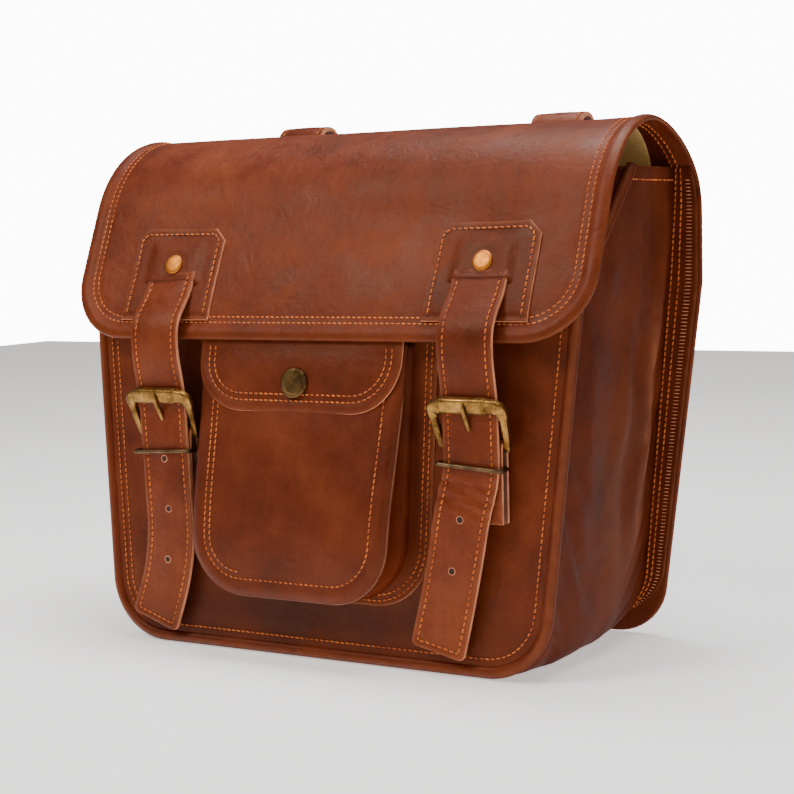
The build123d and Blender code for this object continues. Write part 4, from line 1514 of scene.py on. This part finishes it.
def build_backing():
    base, top = low("pocket_backing")[2], high("pocket_backing")[2]
    centre = middle("pocket_backing")[0]
    half_low = high("pocket_backing")[0] - centre - POCKET_TAPER
    lean = POCKET_TAPER / (top - base)
    rows = round_end(half_low, POCKET_CORNER, lean)
    rows += straight_rows(rows[-1][0], top - base, lambda s: half_low + lean * s, 2.5, True)
    start = float(front_s(base))
    seams = (2.6, 5.6)

    def place(x, s, offset):
        return FRONT_ROUTE.place(x, s + start, offset + LEATHER / 2 + THIN / 2 + 0.1)

    def relief(x, s, edge):
        return -0.25 * sum(hump(edge, seam, 0.8) for seam in seams)

    sheet = Sheet(rows, place, thickness=THIN, columns=60, relief=relief, hem=0.25, centre=centre)
    backing = sheet.build("pocket_backing_leather", DARK, FLESH, EDGE)
    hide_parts("pocket_backing")
    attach(backing, "bag")
    sewing = Sewing()
    for seam in seams:
        sewing.border(sheet, seam, lambda s: s < top - base - 4)
    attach(sewing.build("pocket_backing_stitching"), "bag")


POCKET_ROUTE = Route(
    eased(
        [(-84.2, POCKET_BASE), (-82.2, 72), (-67.2, 131), (-60.2, POCKET_TOP)], 24, 16,
    ),
    out=-1,
)


def pocket_depth(x, s, edge):
    """The pocket's front rolls back over its rim and swells in the middle."""
    roll = 5.5
    into = np.clip(roll - edge, 0, roll)
    back = roll - np.sqrt(np.maximum(roll**2 - into**2, 0.0))
    lower = 1 - smooth(s, 95, 125)
    swell = 1.6 * smooth(edge, 8, 45) * lower
    seam = -0.5 * hump(edge, POCKET_SEAM, 1.1)
    return -back * (0.25 + 0.75 * lower) + swell + seam + 0.5 * wander(x, s, 51, 60.0) * smooth(edge, 10, 25)


def build_pocket_front():
    height = POCKET_ROUTE.total
    rows = round_end(POCKET_HALF - POCKET_TAPER, POCKET_CORNER, POCKET_LEAN, 16)
    half_low = POCKET_HALF - POCKET_TAPER
    rows += straight_rows(rows[-1][0], height, lambda s: half_low + POCKET_LEAN * s, 2.0, True)
    sheet = Sheet(
        rows, POCKET_ROUTE.place, thickness=THIN, columns=80, relief=pocket_depth, hem=0.6,
        centre=POCKET_X, dense=0.86, cut_wear=0.05,
    )
    front = sheet.build("pocket_front_leather", POCKET, FLESH, POCKET)
    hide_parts("pocket_front")
    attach(front, "bag")
    sewing = Sewing()
    sewing.border(sheet, POCKET_SEAM, lambda s: s < height - 12)
    inner = ring_points(sheet.rows, 13.2)
    inner = inner[(inner[:, 0] < -10) & (inner[:, 1] < height - 12)]
    sewing.row(sheet.surface, inner[::-1], thickness=THIN)
    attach(sewing.build("pocket_front_stitching"), "bag")
    return sheet


def build_pocket_wall(sheet):
    """The pocket's side leather: from under the front's rolled rim back to the backing."""
    rows = np.array(sheet.rows)
    outline = ring_points(rows, 1.2)
    outline = rolled_open(outline[outline[:, 1] < POCKET_ROUTE.total - 1])
    lengths = lengths_along(outline)
    want = np.linspace(0, lengths[-1], 130)
    outline = np.stack([np.interp(want, lengths, outline[:, k]) for k in (0, 1)], axis=1)
    front = sheet.surface(outline[:, 0], outline[:, 1], -0.2)
    tangent = np.gradient(front[:, (0, 2)], axis=0)
    tangent /= np.linalg.norm(tangent, axis=1)[:, None]
    out = np.stack([-tangent[:, 1], tangent[:, 0]], axis=1)
    if out[len(out) // 2, 1] > 0:
        out = -out
    back_y = np.array([float(FRONT_ROUTE.at(front_s(z))[0]) for z in front[:, 2]]) - 3.0
    grid = []
    for share in np.linspace(0, 1, 9):
        spot = front.copy()
        spot[:, 1] = front[:, 1] + (back_y - front[:, 1]) * share
        pinch = -1.8 * sin(pi * share) + 0.5 * sin(share * 9)
        flare = 1.6 * float(smooth(share, 0.85, 1.0))
        spot[:, 0] += out[:, 0] * (pinch + flare)
        spot[:, 2] += out[:, 1] * (pinch + flare)
        grid.append(spot)
    grid = np.stack(grid, axis=1)
    wall = new_mesh(
        "pocket_wall_leather", grid.reshape(-1, 3), grid_faces(*grid.shape[:2]), (DARK,)
    )
    thicken(wall, WALL_LEATHER)
    baked(wall)
    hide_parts("pocket_gusset")
    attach(wall, "bag")


def build_pocket_flap():
    fold = place_of("pocket_flap_fold", frame["joints"])
    edge_y, edge_z = low("pocket_flap")[1] + THIN / 2, low("pocket_flap")[2]
    top_y, top_z = high("pocket_flap_root")[1] - 0.4, high("pocket_flap_root")[2] - 0.6
    lip = (edge_y - fold[1]) / (edge_z - fold[2])
    route = Route(
        eased(
            [
                (top_y, top_z), (fold[1] + 0.6, fold[2] + 5), (fold[1] - 1.2, fold[2] - 4),
                (fold[1] + lip * (145 - fold[2]) - 1.4, 145), (edge_y - 0.2, edge_z),
            ],
            7, 8,
        )
    )
    half, corner = 61.5, 28.0
    seams = (5.8, 9.2)
    length = route.total
    rows = [(0.0, half, 1.0, 1.0)]
    rows += straight_rows(0.0, length - corner, lambda s: half, 2.0)
    rows += flipped(round_end(half, corner, 0.0, 16), length)[1:]

    def relief(x, s, edge):
        low_part = smooth(s, 14, 24)
        roll = 0.55 * hump(edge, 3.0, 2.4) * low_part
        dips = -0.22 * sum(hump(edge, seam, 1.1) for seam in seams) * low_part
        crown = 1.5 * smooth(edge, 6, 40) * low_part
        dish = -0.6 * hump(np.hypot(x, s - snap_s), 7.0, 3.0)
        return roll + dips + crown + dish + 0.5 * wander(x, s, 61, 55.0) * low_part

    snap_z = middle("snap_cap")[2]
    snap_s = float(np.interp(-snap_z, -route.points[:, 1], route.lengths))
    sheet = Sheet(rows, route.place, thickness=THIN, columns=70, relief=relief, hem=0.5,
                  centre=POCKET_X)
    flap = sheet.build("pocket_flap_leather", POCKET, FLESH, EDGE)
    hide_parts("pocket_flap", "pocket_flap_root")
    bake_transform(flap)
    sewing = Sewing()
    for seam in seams:
        sewing.border(sheet, seam, lambda s: s > 16)
    thread_piece = sewing.build("pocket_flap_stitching")
    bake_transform(thread_piece)

    place, axis = sheet.outward(snap_s, THIN / 2)
    profile = [
        (6.4, -0.6), (7.6, -0.3), (7.9, 0.3), (7.8, 0.9), (7.2, 1.35), (6.5, 1.5), (6.1, 1.42),
        (5.6, 1.30), (4.0, 1.42), (2.4, 1.50), (1.0, 1.53), (0.3, 1.54),
    ]
    cap = lathe("press_stud_cap", profile, place, axis, WORN, 48)
    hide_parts("snap_cap")
    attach(cap, "pocket_flap")


build_backing()
pocket_sheet = build_pocket_front()
build_pocket_wall(pocket_sheet)
build_pocket_flap()


# ---------------------------------------------------------------- rail loops
def build_rail_loop(side):
    """A band that goes up, round the rail and down again, both ends riveted to the back."""
    lowest, highest = low(f"{side}_rail_loop"), high(f"{side}_rail_loop")
    centre = (lowest[0] + highest[0]) / 2
    band = 2.6
    slack = 1.4
    bore = 8.0 + band / 2 + slack
    rail = place_of("carrier_rail", frame["record"]["mounts"])
    tail_y, tail_z = lowest[1] + band / 2, lowest[2]
    run = [(tail_y + band + 0.1, tail_z), (tail_y + band + 0.1, tail_z + 40)]
    run += arc((rail[1], rail[2] + slack / 2), bore, -50, 215, 1.0)
    run += [(tail_y, tail_z + 40), (tail_y, tail_z)]
    route = Route(eased(run, 6, 6))
    half = (highest[0] - lowest[0]) / 2
    rows = [(0.0, half, 1.0, 1.0)] + straight_rows(0.0, route.total, lambda s: half, 1.6, True)

    def relief(x, s, edge):
        return -0.25 * hump(edge, 3.2, 0.8) + 0.3 * smooth(edge, 2, 12)

    sheet = Sheet(rows, route.place, thickness=band, columns=22, relief=relief, hem=0.4,
                  centre=centre)
    loop = sheet.build(f"{side}_rail_loop_band", STRAP, FLESH, EDGE)
    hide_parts(f"{side}_rail_loop")
    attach(loop, "bag")
    sewing = Sewing(pitch=3.5)
    for x in (-half + 3.2, half - 3.2):
        sewing.row(sheet.surface, [(x, s) for s in np.linspace(3, route.total - 45, 200)],
                   thickness=band)
    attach(sewing.build(f"{side}_rail_loop_stitching"), "bag")
    caps = []
    for z in (tail_z + 11, tail_z + 36):
        place, _ = sheet.outward(z - tail_z, band / 2)
        caps.append(build_cap(f"{side}_tail_rivet_{len(caps) + 1}", place, (0, 1, 0)))
    rivets = joined(f"{side}_tail_rivets", *caps)
    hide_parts(f"{side}_loop_rivets")
    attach(rivets, "bag")


def build_cap(name, centre, axis):
    radius = 5.5
    profile = [
        (radius * 0.80, -0.5), (radius * 0.97, -0.3), (radius, 0.1), (radius * 0.97, 0.5),
        (radius * 0.86, 0.9), (radius * 0.66, 1.2), (radius * 0.40, 1.4), (radius * 0.05, 1.45),
    ]
    return lathe(name, profile, centre, axis, BRIGHT)


for side in SIDES:
    build_rail_loop(side)


# ---------------------------------------------------------------- lining
def build_shell_lining():
    """Cloth sewn to the inner face of the back and the flap."""
    start, end = 40.0, SHELL_ROUTE.total - 16
    half = FLAP_HALF - 15.5

    def cloth_half(s):
        return min(half, shell_half(start + s) - 24 + 9.5 * float(smooth(start + s, 120, 170)))

    rows = [(0.0, cloth_half(0), 1.0, 1.0)]
    rows += straight_rows(0.0, end - start - 24, cloth_half, 4.0)
    rows += flipped(round_end(half, 24.0), end - start)[1:]

    def place(x, s, offset):
        return SHELL_SHEET.surface(x, s + start, -LEATHER / 2 - 0.5 + offset)

    sheet = Sheet(rows, place, thickness=LINING, columns=60, hem=0.2)
    cloth = sheet.build("shell_lining_cloth", CLOTH)
    across_hinge(cloth)


def build_body_lining():
    """Thin cloth inside the front panel and round the gusset."""
    ring = body_ring(step=6.0)
    folds = smooth(ring[:, 1], 5, 40) * (1 - smooth(ring[:, 1], 205, 245))
    ring = ring - ring_normals(ring) * (LEATHER + 0.9 + 8.5 * folds)[:, None]
    columns = []
    for share in np.linspace(0, 1, 12):
        y0 = np.array([float(gusset_front_y(z)) for z in ring[:, 1]]) + 2.2
        y = y0 + (BACK_Y - 4.6 - y0) * share
        columns.append(np.stack([ring[:, 0], y, ring[:, 1]], axis=1))
    grid = np.stack(columns, axis=1)
    faces = grid_faces(*grid.shape[:2], turned=True)
    cloth = new_mesh("gusset_lining_cloth", grid.reshape(-1, 3), faces, (CLOTH,))
    thicken(cloth, LINING)
    baked(cloth)
    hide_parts("lining")
    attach(cloth, "bag")

    rows = [(s + 3, half - 3, a, b) for s, half, a, b in front_rows]
    rows = [row for row in rows if row[0] < FRONT_ROUTE.total - 2]
    rows[-1] = (rows[-1][0], rows[-1][1], 1.0, -1.0)

    def behind_front(x, s, offset):
        return FRONT_ROUTE.place(x, s, offset - LEATHER / 2 - 0.6)

    sheet = Sheet(rows, behind_front, thickness=LINING, columns=50, hem=0.2)
    front = sheet.build("front_lining_cloth", CLOTH)
    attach(front, "bag")


build_shell_lining()
build_body_lining()


# ---------------------------------------------------------------- CAD pieces that stay
def dress(node, material):
    obj = frame["nodes"][node]
    if not obj.data.materials:
        obj.data.materials.append(material)
    for slot in obj.material_slots:
        slot.material = material


for side in SIDES:
    dress(f"{side}_body_magnet", STEEL)
    dress(f"{side}_strap_magnet", STEEL)
dress("snap_stud", WORN)


# ---------------------------------------------------------------- floor and light
def add_floor():
    size = 4.0
    bpy.ops.mesh.primitive_plane_add(size=size, location=(0, 0, -0.0006))
    floor = bpy.context.object
    floor.name = "floor"
    floor.data.materials.append(FLOOR)


def add_light(name, place, target, size, power, colour=(1, 1, 1)):
    data = bpy.data.lights.new(name, "AREA")
    data.shape = "RECTANGLE"
    data.size, data.size_y = size
    data.energy = power
    data.color = colour
    light = bpy.data.objects.new(name, data)
    light.location = place
    way = Vector(target) - Vector(place)
    light.rotation_euler = way.to_track_quat("-Z", "Y").to_euler()
    bpy.context.scene.collection.objects.link(light)


SOFT_LIGHT, BACKDROP = 0.18, 12.0


def add_world():
    """Soft light from all round, in front of a paler backdrop."""
    world = bpy.data.worlds.new("studio")
    world.use_nodes = True
    tree = world.node_tree
    soft = tree.nodes["Background"]
    soft.inputs["Color"].default_value = (1.0, 0.95, 0.89, 1)
    soft.inputs["Strength"].default_value = SOFT_LIGHT
    backdrop = tree.nodes.new("ShaderNodeBackground")
    backdrop.inputs["Color"].default_value = (1.0, 1.0, 1.0, 1)
    backdrop.inputs["Strength"].default_value = BACKDROP
    seen = tree.nodes.new("ShaderNodeLightPath").outputs["Is Camera Ray"]
    choice = tree.nodes.new("ShaderNodeMixShader")
    tree.links.new(seen, choice.inputs["Fac"])
    tree.links.new(soft.outputs[0], choice.inputs[1])
    tree.links.new(backdrop.outputs[0], choice.inputs[2])
    tree.links.new(choice.outputs[0], tree.nodes["World Output"].inputs["Surface"])
    bpy.context.scene.world = world


add_floor()
add_world()
add_light("key", (-0.62, -1.05, 1.30), (0, 0, 0.15), (0.55, 0.45), 16.0, (1.0, 0.97, 0.93))
add_light("top", (0.05, 0.10, 1.3), (0, 0, 0.2), (1.0, 0.6), 21.0)
add_light("side", (1.3, -0.75, 0.5), (0.1, 0, 0.12), (0.4, 0.8), 3.6, (1.0, 0.95, 0.90))
